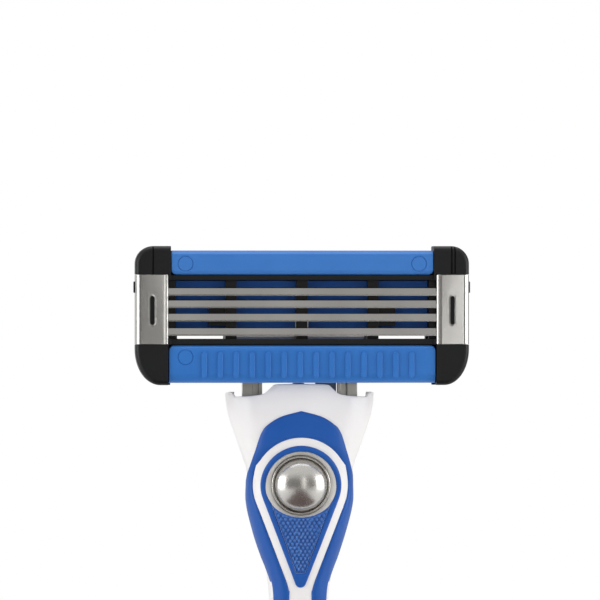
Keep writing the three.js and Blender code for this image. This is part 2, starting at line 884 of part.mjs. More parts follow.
// The bent steel strip that carries a blade: one leg against it, one leg back to the frame.
function supportPiece(edgeZ) {
  const front = bladeThickness + 0.04;
  const back = front + 0.2;
  const top = onBlade(edgeZ, bladeWidth - 0.05, front);
  const footY = shelfY - 0.05;
  const section = polygon([
    onBlade(edgeZ, 0.3, front),
    top,
    [footY, top[1]],
    [footY, top[1] - 0.22],
    onBlade(edgeZ, bladeWidth - 0.3, back),
    onBlade(edgeZ, 0.3, back),
  ]);
  return bar(section, -bladeHalf, bladeHalf);
}

const bladeFirstEdge = windowTop - bladeTopGap - bladeBand;
const bladeStep = (bladeFirstEdge - windowBottom - bladeBottomGap) / (bladeCount - 1);
const bladeEdges = [bladeFirstEdge];
for (let i = 1; i < bladeCount; i++) {
  const growth = 1 + bladeSpread * (i - bladeCount / 2);
  bladeEdges.push(bladeEdges[i - 1] - bladeStep * growth);
}

// Bent sheet clip round one end of the frame, with its slot and the hole that the peg snaps into.
function clipPiece() {
  const corner = 0.6;
  const x = halfWidth;
  const y0 = frontY - 0.2;
  const y1 = backY + sheet;
  const section = new THREE.Shape();
  section.moveTo(x - clipWidth, y0);
  section.absarc(x - corner, y0 + corner, corner, -Math.PI / 2, 0, false);
  section.absarc(x - corner, y1 - corner, corner, 0, Math.PI / 2, false);
  section.lineTo(x - clipHook, y1);
  section.lineTo(x - clipHook, y1 - sheet);
  section.lineTo(x - sheet, y1 - sheet);
  section.lineTo(x - sheet, y0 + sheet);
  section.lineTo(x - clipWidth, y0 + sheet);
  const slotX = halfWidth - clipSlotInset;
  const slotHalf = clipSlotWidth / 2;
  const slotReach = clipSlotLength / 2;
  return post(section, clipZ - clipHeight / 2, clipZ + clipHeight / 2)
    .subtract(
      box(slotX - slotHalf, slotX + slotHalf, -far, frontY + 0.2, slotZ - slotReach, slotZ + slotReach),
    )
    .subtract(box(x - 1, far, pegFrontY - 0.1, pegBackY + 0.1, pegBottom - 0.1, pegTop + 0.1));
}

// ---- The scene graph ----
const finishes = {
  whitePlastic: { color: 0xedebec, roughness: 0.35, metalness: 0 },
  blueRubber: { color: 0x1c56a6, roughness: 0.55, metalness: 0 },
  bluePlastic: { color: 0x3e78c3, roughness: 0.4, metalness: 0 },
  blackPlastic: { color: 0x26272a, roughness: 0.45, metalness: 0 },
  greyPlastic: { color: 0x6d7684, roughness: 0.5, metalness: 0 },
  steel: { color: 0xa9a59e, roughness: 0.3, metalness: 1 },
  chrome: { color: 0xc9c6c1, roughness: 0.2, metalness: 1 },
};

function mesh(name, manifold, finish) {
  const { vertProperties, triVerts } = manifold.getMesh();
  const geometry = new THREE.BufferGeometry();
  geometry.setAttribute("position", new THREE.BufferAttribute(vertProperties, 3));
  geometry.setIndex(new THREE.BufferAttribute(triVerts, 1));
  geometry.computeVertexNormals();
  const made = new THREE.Mesh(geometry, new THREE.MeshStandardMaterial(finishes[finish]));
  made.name = name;
  return made;
}

const handle = new THREE.Group();
handle.add(
  mesh("front_shell", frontShell, "whitePlastic"),
  mesh("back_cover", backCover, "whitePlastic"),
  mesh("outer_grip", outerGrip, "blueRubber"),
  mesh("inner_grip", innerGrip, "blueRubber"),
  mesh("thumb_pad", thumbPad, "blueRubber"),
  mesh("rear_grip", rearGrip, "blueRubber"),
  mesh("end_cap", endCap, "bluePlastic"),
  mesh("steel_core", steelCore, "steel"),
  mesh("button_guide", buttonGuide, "whitePlastic"),
  mesh("button_bezel", buttonBezel, "chrome"),
  mesh("arm_left", mirrored(armPiece()), "steel"),
  mesh("arm_right", armPiece(), "steel"),
  mesh("head_chassis", headChassis, "greyPlastic"),
  mesh("button_spring", buttonSpring, "steel"),
  mesh("plunger_spring", plungerSpring, "steel"),
);

const mechanism = new THREE.Group();
mechanism.add(
  mesh("release_button", releaseButton, "chrome"),
  mesh("ejector", ejector, "greyPlastic"),
  mesh("pivot_plunger", pivotPlunger, "greyPlastic"),
  mesh("docking_connector", dockingConnector, "steel"),
);

const cartridge = new THREE.Group();
cartridge.add(
  mesh("cartridge_frame", cartridgeFrame, "blackPlastic"),
  mesh("back_plate", backPlate, "bluePlastic"),
  mesh("guard_bar", guardBar, "bluePlastic"),
  mesh("lubricating_strip", lubricatingStrip, "bluePlastic"),
  mesh("clip_left", mirrored(clipPiece()), "chrome"),
  mesh("clip_right", clipPiece(), "chrome"),
);
bladeEdges.forEach((edgeZ, i) => {
  cartridge.add(
    mesh(`blade_${i + 1}`, bladePiece(edgeZ), "steel"),
    mesh(`blade_support_${i + 1}`, supportPiece(edgeZ), "steel"),
  );
});

const razor = new THREE.Group();
razor.add(handle, mechanism, cartridge);
export default razor;
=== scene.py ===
import math

import bmesh
import bpy
from mathutils import Matrix, Vector, kdtree
from mathutils.geometry import intersect_point_line


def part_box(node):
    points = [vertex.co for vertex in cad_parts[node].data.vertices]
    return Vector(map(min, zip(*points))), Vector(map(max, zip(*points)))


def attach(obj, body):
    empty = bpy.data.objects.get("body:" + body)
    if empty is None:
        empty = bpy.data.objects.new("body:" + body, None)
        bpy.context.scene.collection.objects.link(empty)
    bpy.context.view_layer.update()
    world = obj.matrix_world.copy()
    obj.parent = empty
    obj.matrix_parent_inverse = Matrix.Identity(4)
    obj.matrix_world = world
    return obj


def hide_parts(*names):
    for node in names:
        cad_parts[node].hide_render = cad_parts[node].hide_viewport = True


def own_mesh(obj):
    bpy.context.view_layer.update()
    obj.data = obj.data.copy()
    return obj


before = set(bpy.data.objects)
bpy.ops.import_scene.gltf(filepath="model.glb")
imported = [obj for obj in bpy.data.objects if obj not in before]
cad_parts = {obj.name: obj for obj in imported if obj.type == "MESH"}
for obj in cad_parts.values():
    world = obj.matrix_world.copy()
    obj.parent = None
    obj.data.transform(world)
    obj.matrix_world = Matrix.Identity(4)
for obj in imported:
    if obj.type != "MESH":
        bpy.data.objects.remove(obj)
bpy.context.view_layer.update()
scene = bpy.context.scene

# ---- Studio ----
# The razor stands on its butt on a pale table, in a white room with tall soft boxes to its left and
# right, one ahead and one above. The camera looks level at the blades from a little to the left.
mm = 0.001
cartridge_low, cartridge_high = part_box("cartridge_frame")
looked_at = Vector((-0.33 * mm, cartridge_low.y, (cartridge_low.z + cartridge_high.z) / 2 + 1.95 * mm))
bearing = math.radians(-3)
camera_distance = 0.8
lens = bpy.data.cameras.new("camera")
lens.lens = 384
lens.sensor_width = 36
lens.clip_start = 0.01
lens.clip_end = 20
camera = bpy.data.objects.new("camera", lens)
camera.location = looked_at + Vector((math.sin(bearing), -math.cos(bearing), 0)) * camera_distance
camera.rotation_euler = (math.pi / 2, 0, bearing)
scene.collection.objects.link(camera)
scene.camera = camera
scene.view_settings.view_transform = "Standard"


def soft_box(name, place, width, height, brightness, colour=(1.0, 1.0, 1.0)):
    """A rectangular light that faces the razor's head. Its brightness doesn't depend on its size."""
    light = bpy.data.lights.new(name, "AREA")
    light.shape = "RECTANGLE"
    light.size = width
    light.size_y = height
    light.energy = brightness * math.pi * width * height
    light.color = colour
    box = bpy.data.objects.new(name, light)
    box.location = place
    box.rotation_euler = (looked_at - Vector(place)).to_track_quat("-Z", "Y").to_euler()
    box.visible_camera = False
    scene.collection.objects.link(box)


soft_box("left_box", (-0.72, -0.3, 0.16), 0.62, 0.56, 3.3)
soft_box("right_box", (0.72, -0.3, 0.16), 0.62, 0.56, 3.3)
soft_box("front_box", (0.165, -0.98, 0.2), 0.12, 0.5, 1.9, colour=(1.0, 0.985, 0.96))
soft_box("top_box", (0.0, 0.05, 1.0), 0.9, 0.8, 2.0)

room = bpy.data.worlds.new("room")
room.use_nodes = True
scene.world = room
air = room.node_tree.nodes
seen = air["Background"]
seen.inputs["Strength"].default_value = 1.0
seen.inputs["Color"].default_value = (1, 1, 1, 1)
felt = air.new("ShaderNodeBackground")
walls = air.new("ShaderNodeValToRGB")
walls.color_ramp.elements[0].color = (0.5, 0.5, 0.5, 1)
walls.color_ramp.elements[1].color = (0.75, 0.74, 0.72, 1)
walls.color_ramp.elements.new(0.44).color = (0.17, 0.165, 0.155, 1)
walls.color_ramp.elements.new(0.6).color = (0.2, 0.195, 0.185, 1)
walls.color_ramp.elements.new(0.76).color = (0.8, 0.795, 0.78, 1)
backdrop = air.new("ShaderNodeMix")
backdrop.data_type = "RGBA"
backdrop.inputs["B"].default_value = (0.65, 0.65, 0.65, 1)
behind_razor = air.new("ShaderNodeMapRange")
behind_razor.inputs["From Min"].default_value = -0.1
behind_razor.inputs["From Max"].default_value = 0.5
compass = air.new("ShaderNodeTexCoord")
upright = air.new("ShaderNodeSeparateXYZ")
level = air.new("ShaderNodeMapRange")
level.inputs["From Min"].default_value = -1
ray = air.new("ShaderNodeLightPath")
choice = air.new("ShaderNodeMixShader")
wires = room.node_tree.links
wires.new(compass.outputs["Generated"], upright.inputs[0])
wires.new(upright.outputs["Z"], level.inputs["Value"])
wires.new(level.outputs["Result"], walls.inputs["Fac"])
wires.new(upright.outputs["Y"], behind_razor.inputs["Value"])
wires.new(behind_razor.outputs["Result"], backdrop.inputs["Factor"])
wires.new(walls.outputs["Color"], backdrop.inputs["A"])
wires.new(backdrop.outputs["Result"], felt.inputs["Color"])
wires.new(ray.outputs["Is Camera Ray"], choice.inputs["Fac"])
wires.new(felt.outputs[0], choice.inputs[1])
wires.new(seen.outputs[0], choice.inputs[2])
wires.new(choice.outputs[0], air["World Output"].inputs["Surface"])


def clouded(name, dark, light, roughness, grain_mm, relief_mm, metallic=0.0, stretch=(1, 1, 1), sheen=0.32):
    """A finish: two close shades in a soft cloud, and one fine grain that moves both gloss and surface."""
    finish = bpy.data.materials.new(name)
    finish.use_nodes = True
    nodes = finish.node_tree.nodes
    links = finish.node_tree.links
    shader = nodes["Principled BSDF"]
    shader.inputs["Metallic"].default_value = metallic
    shader.inputs["Specular IOR Level"].default_value = 0.5 if metallic else sheen
    where = nodes.new("ShaderNodeTexCoord")
    spread = nodes.new("ShaderNodeMapping")
    spread.inputs["Scale"].default_value = stretch
    links.new(where.outputs["Object"], spread.inputs["Vector"])
    cloud = nodes.new("ShaderNodeTexNoise")
    cloud.inputs["Scale"].default_value = 160
    cloud.inputs["Detail"].default_value = 3
    links.new(where.outputs["Object"], cloud.inputs["Vector"])
    grain = nodes.new("ShaderNodeTexNoise")
    grain.inputs["Scale"].default_value = 1 / (grain_mm * mm)
    grain.inputs["Detail"].default_value = 2
    links.new(spread.outputs["Vector"], grain.inputs["Vector"])
    shades = nodes.new("ShaderNodeValToRGB")
    ends = shades.color_ramp.elements
    ends[0].position = 0.3
    ends[0].color = (*dark, 1)
    ends[1].position = 0.7
    ends[1].color = (*light, 1)
    links.new(cloud.outputs["Fac"], shades.inputs["Fac"])
    links.new(shades.outputs["Color"], shader.inputs["Base Color"])
    gloss = nodes.new("ShaderNodeMapRange")
    gloss.inputs["To Min"].default_value = roughness * 0.85
    gloss.inputs["To Max"].default_value = roughness * 1.15
    links.new(grain.outputs["Fac"], gloss.inputs["Value"])
    links.new(gloss.outputs["Result"], shader.inputs["Roughness"])
    bump = nodes.new("ShaderNodeBump")
    bump.inputs["Strength"].default_value = 0.6
    bump.inputs["Distance"].default_value = relief_mm * mm
    links.new(grain.outputs["Fac"], bump.inputs["Height"])
    links.new(bump.outputs["Normal"], shader.inputs["Normal"])
    return finish


table_top = bmesh.new()
bmesh.ops.create_circle(table_top, cap_ends=True, segments=96, radius=0.8)
table_mesh = bpy.data.meshes.new("table")
table_top.to_mesh(table_mesh)
table_top.free()
pale = clouded("pale_table", (0.697, 0.697, 0.697), (0.703, 0.703, 0.703), 0.7, 4, 0.02)
table_mesh.materials.append(pale)
table = bpy.data.objects.new("table", table_mesh)
scene.collection.objects.link(table)

# A dark card on the table ahead of the razor, which only shows in its gloss: a painted dark reflection that
# stands in for the shaded room ahead.
card_top = bmesh.new()
bmesh.ops.create_grid(card_top, x_segments=1, y_segments=1, size=0.5)
bmesh.ops.scale(card_top, vec=(0.19, 0.6, 1), verts=card_top.verts[:])
bmesh.ops.translate(card_top, vec=(0, -0.34, 0.002), verts=card_top.verts[:])
card_mesh = bpy.data.meshes.new("dark_reflection_card")
card_top.to_mesh(card_mesh)
card_top.free()
card_mesh.materials.append(clouded("dark_reflection_card", (0.1, 0.07, 0.068), (0.12, 0.085, 0.08), 0.7, 4, 0.02))
card = bpy.data.objects.new("dark_reflection_card", card_mesh)
card.visible_camera = False
card.visible_diffuse = False
card.visible_shadow = False
scene.collection.objects.link(card)

# ---- Front shell ----
# The white front half of the handle, an injection moulding in glossy white plastic with a wall of
# 1.4 mm. It carries the button's dish and the blue grips, and is welded to the back cover at the
# parting line. Its top is scooped so that the cartridge can swing. Sizes here are in millimetres.
neck_top = 122.8
waist = neck_top - 27
head_forward = 18.4
squareness = 2.5
parting_shift = 0.6
wall = 1.4
cap_height = 9.0
button_z = neck_top - 12.75
# Height, half width, depth ahead of the centreline and depth behind it.
stations = [
    (0, 3.9, 3.6, 3.6),
    (waist * 0.06, 4.8, 4.4, 4.4),
    (waist * 0.3, 5.7, 5.2, 5.2),
    (waist * 0.6, 5.5, 5.3, 5.2),
    (waist * 0.82, 4.5, 4.8, 4.9),
    (waist, 3.75, 4.5, 4.8),
    (neck_top - 23, 4.3, 4.6, 5.2),
    (neck_top - 19, 5.55, 4.8, 5.5),
    (neck_top - 15, 6.5, 4.9, 5.6),
    (neck_top - 11.3, 6.6, 4.9, 5.6),
    (neck_top - 7.5, 7.8, 4.8, 5.6),
    (neck_top - 3.5, 9.1, 4.6, 5.5),
    (neck_top + 1, 9.5, 4.4, 5.4),
]


def centre_y(z):
    share = min(max(z / neck_top, 0), 1)
    return -head_forward * (1 - math.cos(math.pi * share)) / 2


def lean_at(k, j):
    """How fast quantity j changes with height at station k."""
    beside = [
        (stations[i][j] - stations[i - 1][j]) / (stations[i][0] - stations[i - 1][0])
        for i in (k, k + 1)
        if 0 < i < len(stations)
    ]
    return sum(beside) / len(beside)


def handle_at(z):
    """The handle's half width, front depth and back depth at a height."""
    k = next((i for i in range(1, len(stations)) if z < stations[i][0]), len(stations) - 1)
    step = stations[k][0] - stations[k - 1][0]
    t = (z - stations[k - 1][0]) / step
    sizes = []
    for j in (1, 2, 3):
        start, end = stations[k - 1][j], stations[k][j]
        leave, arrive = lean_at(k - 1, j) * step, lean_at(k, j) * step
        sizes.append(
            (2 * t**3 - 3 * t**2 + 1) * start
            + (t**3 - 2 * t**2 + t) * leave
            + (3 * t**2 - 2 * t**3) * end
            + (t**3 - t**2) * arrive
        )
    return sizes


def on_handle(angle, z, lift=0.0):
    """The point at an angle round from the front and a height, so far off the handle's skin."""
    width, front, back = handle_at(z)
    depth = front if math.cos(angle) > 0 else back
    across, ahead = abs(math.sin(angle)), abs(math.cos(angle))
    reach = (
        (across / (width + lift)) ** squareness + (ahead / (depth + lift)) ** squareness
    ) ** (-1 / squareness)
    return Vector((reach * math.sin(angle), centre_y(z) - reach * math.cos(angle), z))


def parting_angle(z):
    return math.pi / 2 + parting_shift / handle_at(z)[0]


def angle_at(x, z):
    """The angle at which the handle's front reaches x, or the parting line where x lies past its side."""
    width, front, _ = handle_at(z)
    edge = parting_angle(z) - 0.012
    if abs(x) >= width:
        return math.copysign(edge, x)
    y = front * (1 - (abs(x) / width) ** squareness) ** (1 / squareness)
    return math.copysign(min(math.atan2(abs(x), y), edge), x)


unroll = 5.2  # mm of unrolled skin for each radian round the handle


def unrolled(points):
    return [(angle_at(x, z) * unroll, z) for x, z in points]


def smooth_line(points, steps=8):
    """A smooth line through points, ends kept."""
    line = []
    for i in range(len(points) - 1):
        ends = [points[max(i - 1, 0)], points[i], points[i + 1], points[min(i + 2, len(points) - 1)]]
        for s in range(steps):
            t = s / steps
            line.append(
                tuple(
                    0.5 * (2 * b + (c - a) * t + (2 * a - 5 * b + 4 * c - d) * t * t
                           + (3 * b - a - 3 * c + d) * t**3)
                    for a, b, c, d in zip(*ends)
                )
            )
    return [*line, points[-1]]


def even_line(points, pitch=0.4):
    """The same line with points about a pitch apart."""
    line = []
    for (x0, z0), (x1, z1) in zip(points, points[1:]):
        count = max(1, round(math.hypot(x1 - x0, z1 - z0) / pitch))
        line += [(x0 + (x1 - x0) * i / count, z0 + (z1 - z0) * i / count) for i in range(count)]
    return [*line, points[-1]]


def mirrored_loop(right):
    """A closed outline from its right half, which starts and ends on the middle line."""
    return [*right, *[(-x, z) for x, z in reversed(right[1:-1])]]


def panel(loops, lift, under, cell=0.6, rims=(0.05, 0.1, 0.16, 0.22), behind=False):
    """A moulded skin on the handle: an unrolled outline with holes, raised by lift(distance to its edge,
    unrolled place, height), with its underside at a depth, wrapped round the handle."""
    bm = bmesh.new()
    edges = []
    sides = []
    for loop in loops:
        verts = [bm.verts.new((u, 0, z)) for u, z in loop]
        edges += [bm.edges.new((verts[i - 1], v)) for i, v in enumerate(verts)]
        sides += [(verts[i - 1].co.copy(), v.co.copy()) for i, v in enumerate(verts)]
    bmesh.ops.triangle_fill(bm, edges=edges, use_beauty=True)
    inner = bm.faces[:]
    for rim in rims:
        bmesh.ops.inset_region(bm, faces=inner, thickness=rim, use_boundary=True, use_even_offset=False)
    low = [min(v.co[k] for v in bm.verts) for k in range(3)]
    high = [max(v.co[k] for v in bm.verts) for k in range(3)]
    for axis in (0, 2):
        normal = [float(axis == k) for k in range(3)]
        place = low[axis] + cell / 2
        while place < high[axis]:
            bmesh.ops.bisect_plane(
                bm,
                geom=bm.verts[:] + bm.edges[:] + bm.faces[:],
                dist=0.01,
                plane_co=[place * n for n in normal],
                plane_no=normal,
            )
            place += cell
    tree = kdtree.KDTree(len(sides))
    for i, (a, b) in enumerate(sides):
        tree.insert((a + b) / 2, i)
    tree.balance()
    raised = bm.verts.layers.float.new("raised")
    for v in bm.verts:
        nearest = 99.0
        for _, i, _ in tree.find_n(v.co, 4):
            foot, share = intersect_point_line(v.co, *sides[i])
            foot = sides[i][0] if share < 0 else sides[i][1] if share > 1 else foot
            nearest = min(nearest, (v.co - foot).length)
        v[raised] = lift(nearest, v.co.x, v.co.z)
    made = bmesh.ops.extrude_face_region(bm, geom=bm.faces[:])["geom"]
    for v in made:
        if isinstance(v, bmesh.types.BMVert):
            v[raised] = -(under(v.co.x, v.co.z) if callable(under) else under)
    for v in bm.verts:
        turn = math.pi if behind else 0.0
        v.co = on_handle(turn + v.co.x / unroll, v.co.z, v[raised])
    bmesh.ops.recalc_face_normals(bm, faces=bm.faces[:])
    return bm


def rounded(radius, height):
    """An edge that rises in a quarter round to a height."""
    return lambda edge, u, z: height * math.sqrt(1 - (1 - min(edge / radius, 1)) ** 2)


def settle(bm, name, finish, body, slot, *nodes, sharp=38):
    """Turns a finished form from millimetres into a piece in metres, riding on its body."""
    bmesh.ops.scale(bm, vec=(mm, mm, mm), verts=bm.verts[:])
    mesh = bpy.data.meshes.new(name)
    bm.to_mesh(mesh)
    bm.free()
    mesh.materials.append(finish)
    mesh.shade_smooth()
    mesh.set_sharp_from_angle(angle=math.radians(sharp))
    piece = bpy.data.objects.new(name, mesh)
    scene.collection.objects.link(piece)
    piece.modifiers.new("even_shading", "WEIGHTED_NORMAL").keep_sharp = True
    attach(piece, body)
    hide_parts(*nodes)
    return piece


dish_half = 4.47
dish_foot = 3.75
dish_drop = 0.2


def dish_edge(grow, start=0, end=360, step=4):
    """Points round the button's dish: a half circle above, a flatter half ellipse below."""
    points = []
    for degrees in range(start, end + 1, step):
        a = math.radians(degrees)
        reach = dish_half if math.sin(a) > 0 else dish_foot
        z = button_z - dish_drop + (reach + grow) * math.sin(a)
        points.append(((dish_half + grow) * math.cos(a), z))
    return points


# The scoop and the wing beside it: distance from the middle, and drop below the neck's top.
scoop = [
    (0, 0), (1.5, 0), (2.9, 0.03), (3.5, 0.12), (3.8, 0.35), (4.3, 0.82), (4.8, 1.22), (5.6, 1.4),
    (7.1, 1.56), (8.35, 1.62),
]
wing_inside = 8.38
wing_root = neck_top - 1.7
hole_lip = 0.3
hole_lip_radius = 5.0
wing = [(8.45, 1.45), (8.6, 1.18), (8.8, 1.05), (9.05, 1.02), (9.2, 1.08)]
shell_top = [*smooth_line(scoop, 5), *wing]
shell_right = unrolled([(x, neck_top - drop) for x, drop in shell_top])
side_heights = [neck_top - 1.2 - i * (neck_top - 1.2 - cap_height) / 150 for i in range(151)]
shell_right += [(parting_angle(z) * unroll, z) for z in side_heights]
shell_right += even_line([shell_right[-1], (0, cap_height)], 0.8)[1:]


def shell_lift(edge, u, z):
    """A softly rounded rim, and a faint rib down each side of the neck."""
    rim = 0.12
    low = rim - math.sqrt(rim**2 - (rim - min(edge, rim)) ** 2)
    rise = min(max((z - (neck_top - 16)) / 5, 0), 1) * min(edge / 0.8, 1)
    return 0.13 * rise * math.exp(-(((abs(u) - 5.35) / 0.28) ** 2)) - low


def shell_wall(u, z):
    """The wall's thickness, thinned round the button's hole and where the wings stand up."""
    if math.hypot(on_handle(u / unroll, z).x, z - button_z) < hole_lip_radius:
        return hole_lip
    if z < wing_root - 0.5 or abs(u) < 6:
        return wall
    skin_x = abs(on_handle(u / unroll, z).x)
    thinned = min(max((skin_x - wing_inside) / abs(math.sin(u / unroll)), 0.15), wall)
    share = min((z - wing_root + 0.5) / 0.4, 1)
    return wall + (thinned - wall) * share


white = clouded("gloss_white", (0.87, 0.85, 0.85), (0.89, 0.87, 0.87), 0.3, 0.35, 0.004, sheen=0.5)
front = panel([mirrored_loop(shell_right), unrolled(dish_edge(-0.02)[:-1])], shell_lift, shell_wall, 0.5)
settle(front, "front_shell_moulding", white, "handle", "white_plastic", "front_shell")

# ---- Back cover ----
# The white rear half of the handle, the same moulding as the front shell, shorter at the top so that
# the pivot's plunger and the cartridge have room behind the arms.
cover_top = neck_top - 3.3
back_heights = [cover_top - i * (cover_top - cap_height) / 150 for i in range(151)]
cover_corner = ((math.pi - parting_angle(cover_top)) * unroll - 0.05, cover_top)
cover_right = even_line([(0, cover_top), cover_corner], 0.5)
cover_right += [((math.pi - parting_angle(z)) * unroll - 0.05, z) for z in back_heights[1:]]
cover_right += even_line([cover_right[-1], (0, cap_height)], 0.8)[1:]


def cover_lift(edge, u, z):
    rim = 0.3
    return math.sqrt(rim**2 - (rim - min(edge, rim)) ** 2) - rim


back = panel([mirrored_loop(cover_right)], cover_lift, wall, 0.8, behind=True)
settle(back, "back_cover_moulding", white, "handle", "white_plastic", "back_cover")

# ---- Outer grip ----
# Soft blue rubber moulded over the front shell: a hood above the button that wraps the sides of the
# neck and runs down the handle as two round-backed legs.
hood = [
    (0, neck_top - 3.4), (2.4, neck_top - 4.05), (4.1, neck_top - 5.05), (4.95, neck_top - 6.1),
    (5.75, neck_top - 8.5), (6.3, neck_top - 10.3),
]
# Round the side of the neck the edge follows the parting line, given here in unrolled millimetres.
flank_line = [
    (7.5, neck_top - 11.5), (8.45, neck_top - 12.4), (8.55, neck_top - 15), (8.55, neck_top - 19),
    (8.2, neck_top - 21), (7.1, neck_top - 23), (5.8, neck_top - 24.8),
]
legs = [
    (3.3, neck_top - 26.5), (3.6, waist * 0.88), (4.3, waist * 0.7), (4.45, waist * 0.4),
    (4.0, waist * 0.22),
]
heel = [(2.6, waist * 0.15), (1.0, waist * 0.132), (0, waist * 0.13)]
grip_right = smooth_line([*unrolled(hood), *flank_line, *unrolled([*legs, *heel])], 7)
arch_radius = 6.0
arch = []
for degrees in range(90, -25, -5):
    a = math.radians(degrees)
    arch.append((arch_radius * math.cos(a), button_z + arch_radius * math.sin(a)))
inseam = [
    (1.8, neck_top - 24.8), (1.48, neck_top - 25.9), (1.4, waist), (1.75, waist * 0.93),
    (2.1, waist * 0.8), (2.6, waist * 0.62), (2.7, waist * 0.42), (2.1, waist * 0.25),
    (1.0, waist * 0.21), (0, waist * 0.203),
]
gap_right = unrolled([*arch[:-1], *even_line([arch[-1], inseam[0]], 0.5)[:-1], *smooth_line(inseam, 10)])
rubber_blue = clouded("grip_rubber", (0.006, 0.082, 0.37), (0.009, 0.094, 0.4), 0.42, 0.12, 0.006)


def grip_lift(edge, u, z):
    """Round-backed legs that flatten into the hood, and thin out to nothing round the waist's sides."""
    hooded = min(max((z - (neck_top - 27)) / 7, 0), 1)
    radius = 1.4 - 0.8 * hooded
    height = 0.44 - 0.16 * hooded
    thick = min(max((z - (neck_top - 25)) / 3, 0), 1)
    round_side = min(max((abs(u) - 4.2) / 1.6, 0), 1)
    if z > neck_top - 30:
        height -= (height - 0.04) * round_side * (1 - thick)
    return height * math.sqrt(1 - (1 - min(edge / radius, 1)) ** 2)


grip = panel([mirrored_loop(grip_right), mirrored_loop(gap_right)], grip_lift, 0.6, 0.5)
settle(grip, "outer_grip_rubber", rubber_blue, "handle", "blue_rubber", "outer_grip")

# ---- Inner grip ----
# A teardrop of the same rubber round the button, open for the dish and for the knurled thumb pad. It
# is moulded onto the front shell together with the outer grip.
drop_radius = 5.0
tip_radius = 0.7
drop_length = 12.2
flank = math.asin((drop_radius - tip_radius) / drop_length)
teardrop = []
for i in range(25):
    a = math.pi / 2 - i * (math.pi / 2 + flank) / 24
    teardrop.append((drop_radius * math.cos(a), button_z + drop_radius * math.sin(a)))
tip_z = button_z - drop_length
tip = []
for i in range(9):
    a = -flank - i * (math.pi / 2 - flank) / 8
    tip.append((tip_radius * math.cos(a), tip_z + tip_radius * math.sin(a)))
teardrop = [*teardrop[:-1], *even_line([teardrop[-1], tip[0]], 0.4)[:-1], *tip]
pad_top_half = 3.68
pad_foot_half = 0.52
pad_foot = button_z - 11.05
groove = 0.03
notch = even_line([(pad_top_half + groove, button_z - 2.33), (pad_foot_half + groove, pad_foot)], 0.35)
notch += [(pad_foot_half + groove * 0.6, pad_foot - groove), (0, pad_foot - groove)]
opening_right = [*[(-x, z) for x, z in dish_edge(0.02, 90, 214, 4)], *notch]
inner = panel(
    [unrolled(mirrored_loop(teardrop)), unrolled(mirrored_loop(opening_right))],
    rounded(0.28, 0.3), 0.6, 0.4, rims=(0.03, 0.06, 0.08),
)
settle(inner, "inner_grip_rubber", rubber_blue, "handle", "blue_rubber", "inner_grip")

# ---- Thumb pad ----
# The wedge of blue rubber under the button, moulded with a diamond knurl so that the thumb finds it.
# It fills the opening of the inner grip, and is bonded to the front shell like the other grips.
knurl = 0.56
knurl_height = 0.24
pad_right = dish_edge(0.06, 270, 326, 4)
pad_right += even_line([(pad_top_half, button_z - 2.33), (pad_foot_half, pad_foot)], 0.35)[1:]
pad_right.append((0, pad_foot))


def knurled(edge, u, z):
    """Rows of small diamonds inside a narrow sunken margin."""
    along = (z - pad_foot) * 0.62
    diamond = abs(math.cos(math.pi * (u + along) / knurl) * math.cos(math.pi * (u - along) / knurl))
    shoulder = min(max((edge - 0.1) / 0.08, 0), 1)
    return 0.02 + (0.04 + knurl_height * diamond**0.8) * shoulder


pad_blue = clouded("knurled_rubber", (0.012, 0.1, 0.4), (0.02, 0.13, 0.47), 0.3, 0.12, 0.006, sheen=0.5)
# Painted shade darkens the hollows between the diamonds and a painted highlight lightens their tips, both read
# from the mesh's pointiness.
pad_nodes = pad_blue.node_tree.nodes
pad_links = pad_blue.node_tree.links
relief = pad_nodes.new("ShaderNodeNewGeometry")
painted_relief_light = pad_nodes.new("ShaderNodeValToRGB")
painted_relief_stops = painted_relief_light.color_ramp.elements
painted_relief_stops[0].position = 0.43
painted_relief_stops[0].color = (0.003, 0.04, 0.21, 1)
painted_relief_stops[1].position = 0.58
painted_relief_stops[1].color = (0.05, 0.18, 0.53, 1)
painted_relief_stops.new(0.5).color = (0.014, 0.105, 0.41, 1)
pad_links.new(relief.outputs["Pointiness"], painted_relief_light.inputs["Fac"])
pad_links.new(painted_relief_light.outputs["Color"], pad_nodes["Principled BSDF"].inputs["Base Color"])
pad = panel([unrolled(mirrored_loop(pad_right))], knurled, 0.6, knurl / 6, rims=(0.05, 0.05, 0.05))
settle(pad, "thumb_pad_rubber", pad_blue, "handle", "blue_rubber", "thumb_pad", sharp=80)

# ---- Rear grip ----
# An oblong of blue rubber let into the back cover for the fingers, with shallow cross ribs. It is
# moulded onto the cover, and its edge is rounded.
rear_low = waist * 0.3
rear_high = waist * 0.86
rear_half = 3.2
rear_right = []
for degrees in range(90, -1, -6):
    a = math.radians(degrees)
    rear_right.append((rear_half * math.cos(a), rear_high + rear_half * math.sin(a)))
rear_right += even_line([(rear_half, rear_high), (rear_half, rear_low)], 1.0)[1:]
for degrees in range(-6, -91, -6):
    a = math.radians(degrees)
    rear_right.append((rear_half * math.cos(a), rear_low + rear_half * math.sin(a)))


def ribbed(edge, u, z):
    rib = max(0.0, math.cos(2 * math.pi * (z - rear_low) / 2.4)) ** 2 * min(max(edge - 0.7, 0) / 0.5, 1)
    return (0.26 + 0.14 * rib) * math.sqrt(1 - (1 - min(edge / 0.5, 1)) ** 2)


rear = panel([mirrored_loop(rear_right)], ribbed, 0.6, 0.3, behind=True)
settle(rear, "rear_grip_rubber", rubber_blue, "handle", "blue_rubber", "rear_grip", sharp=80)


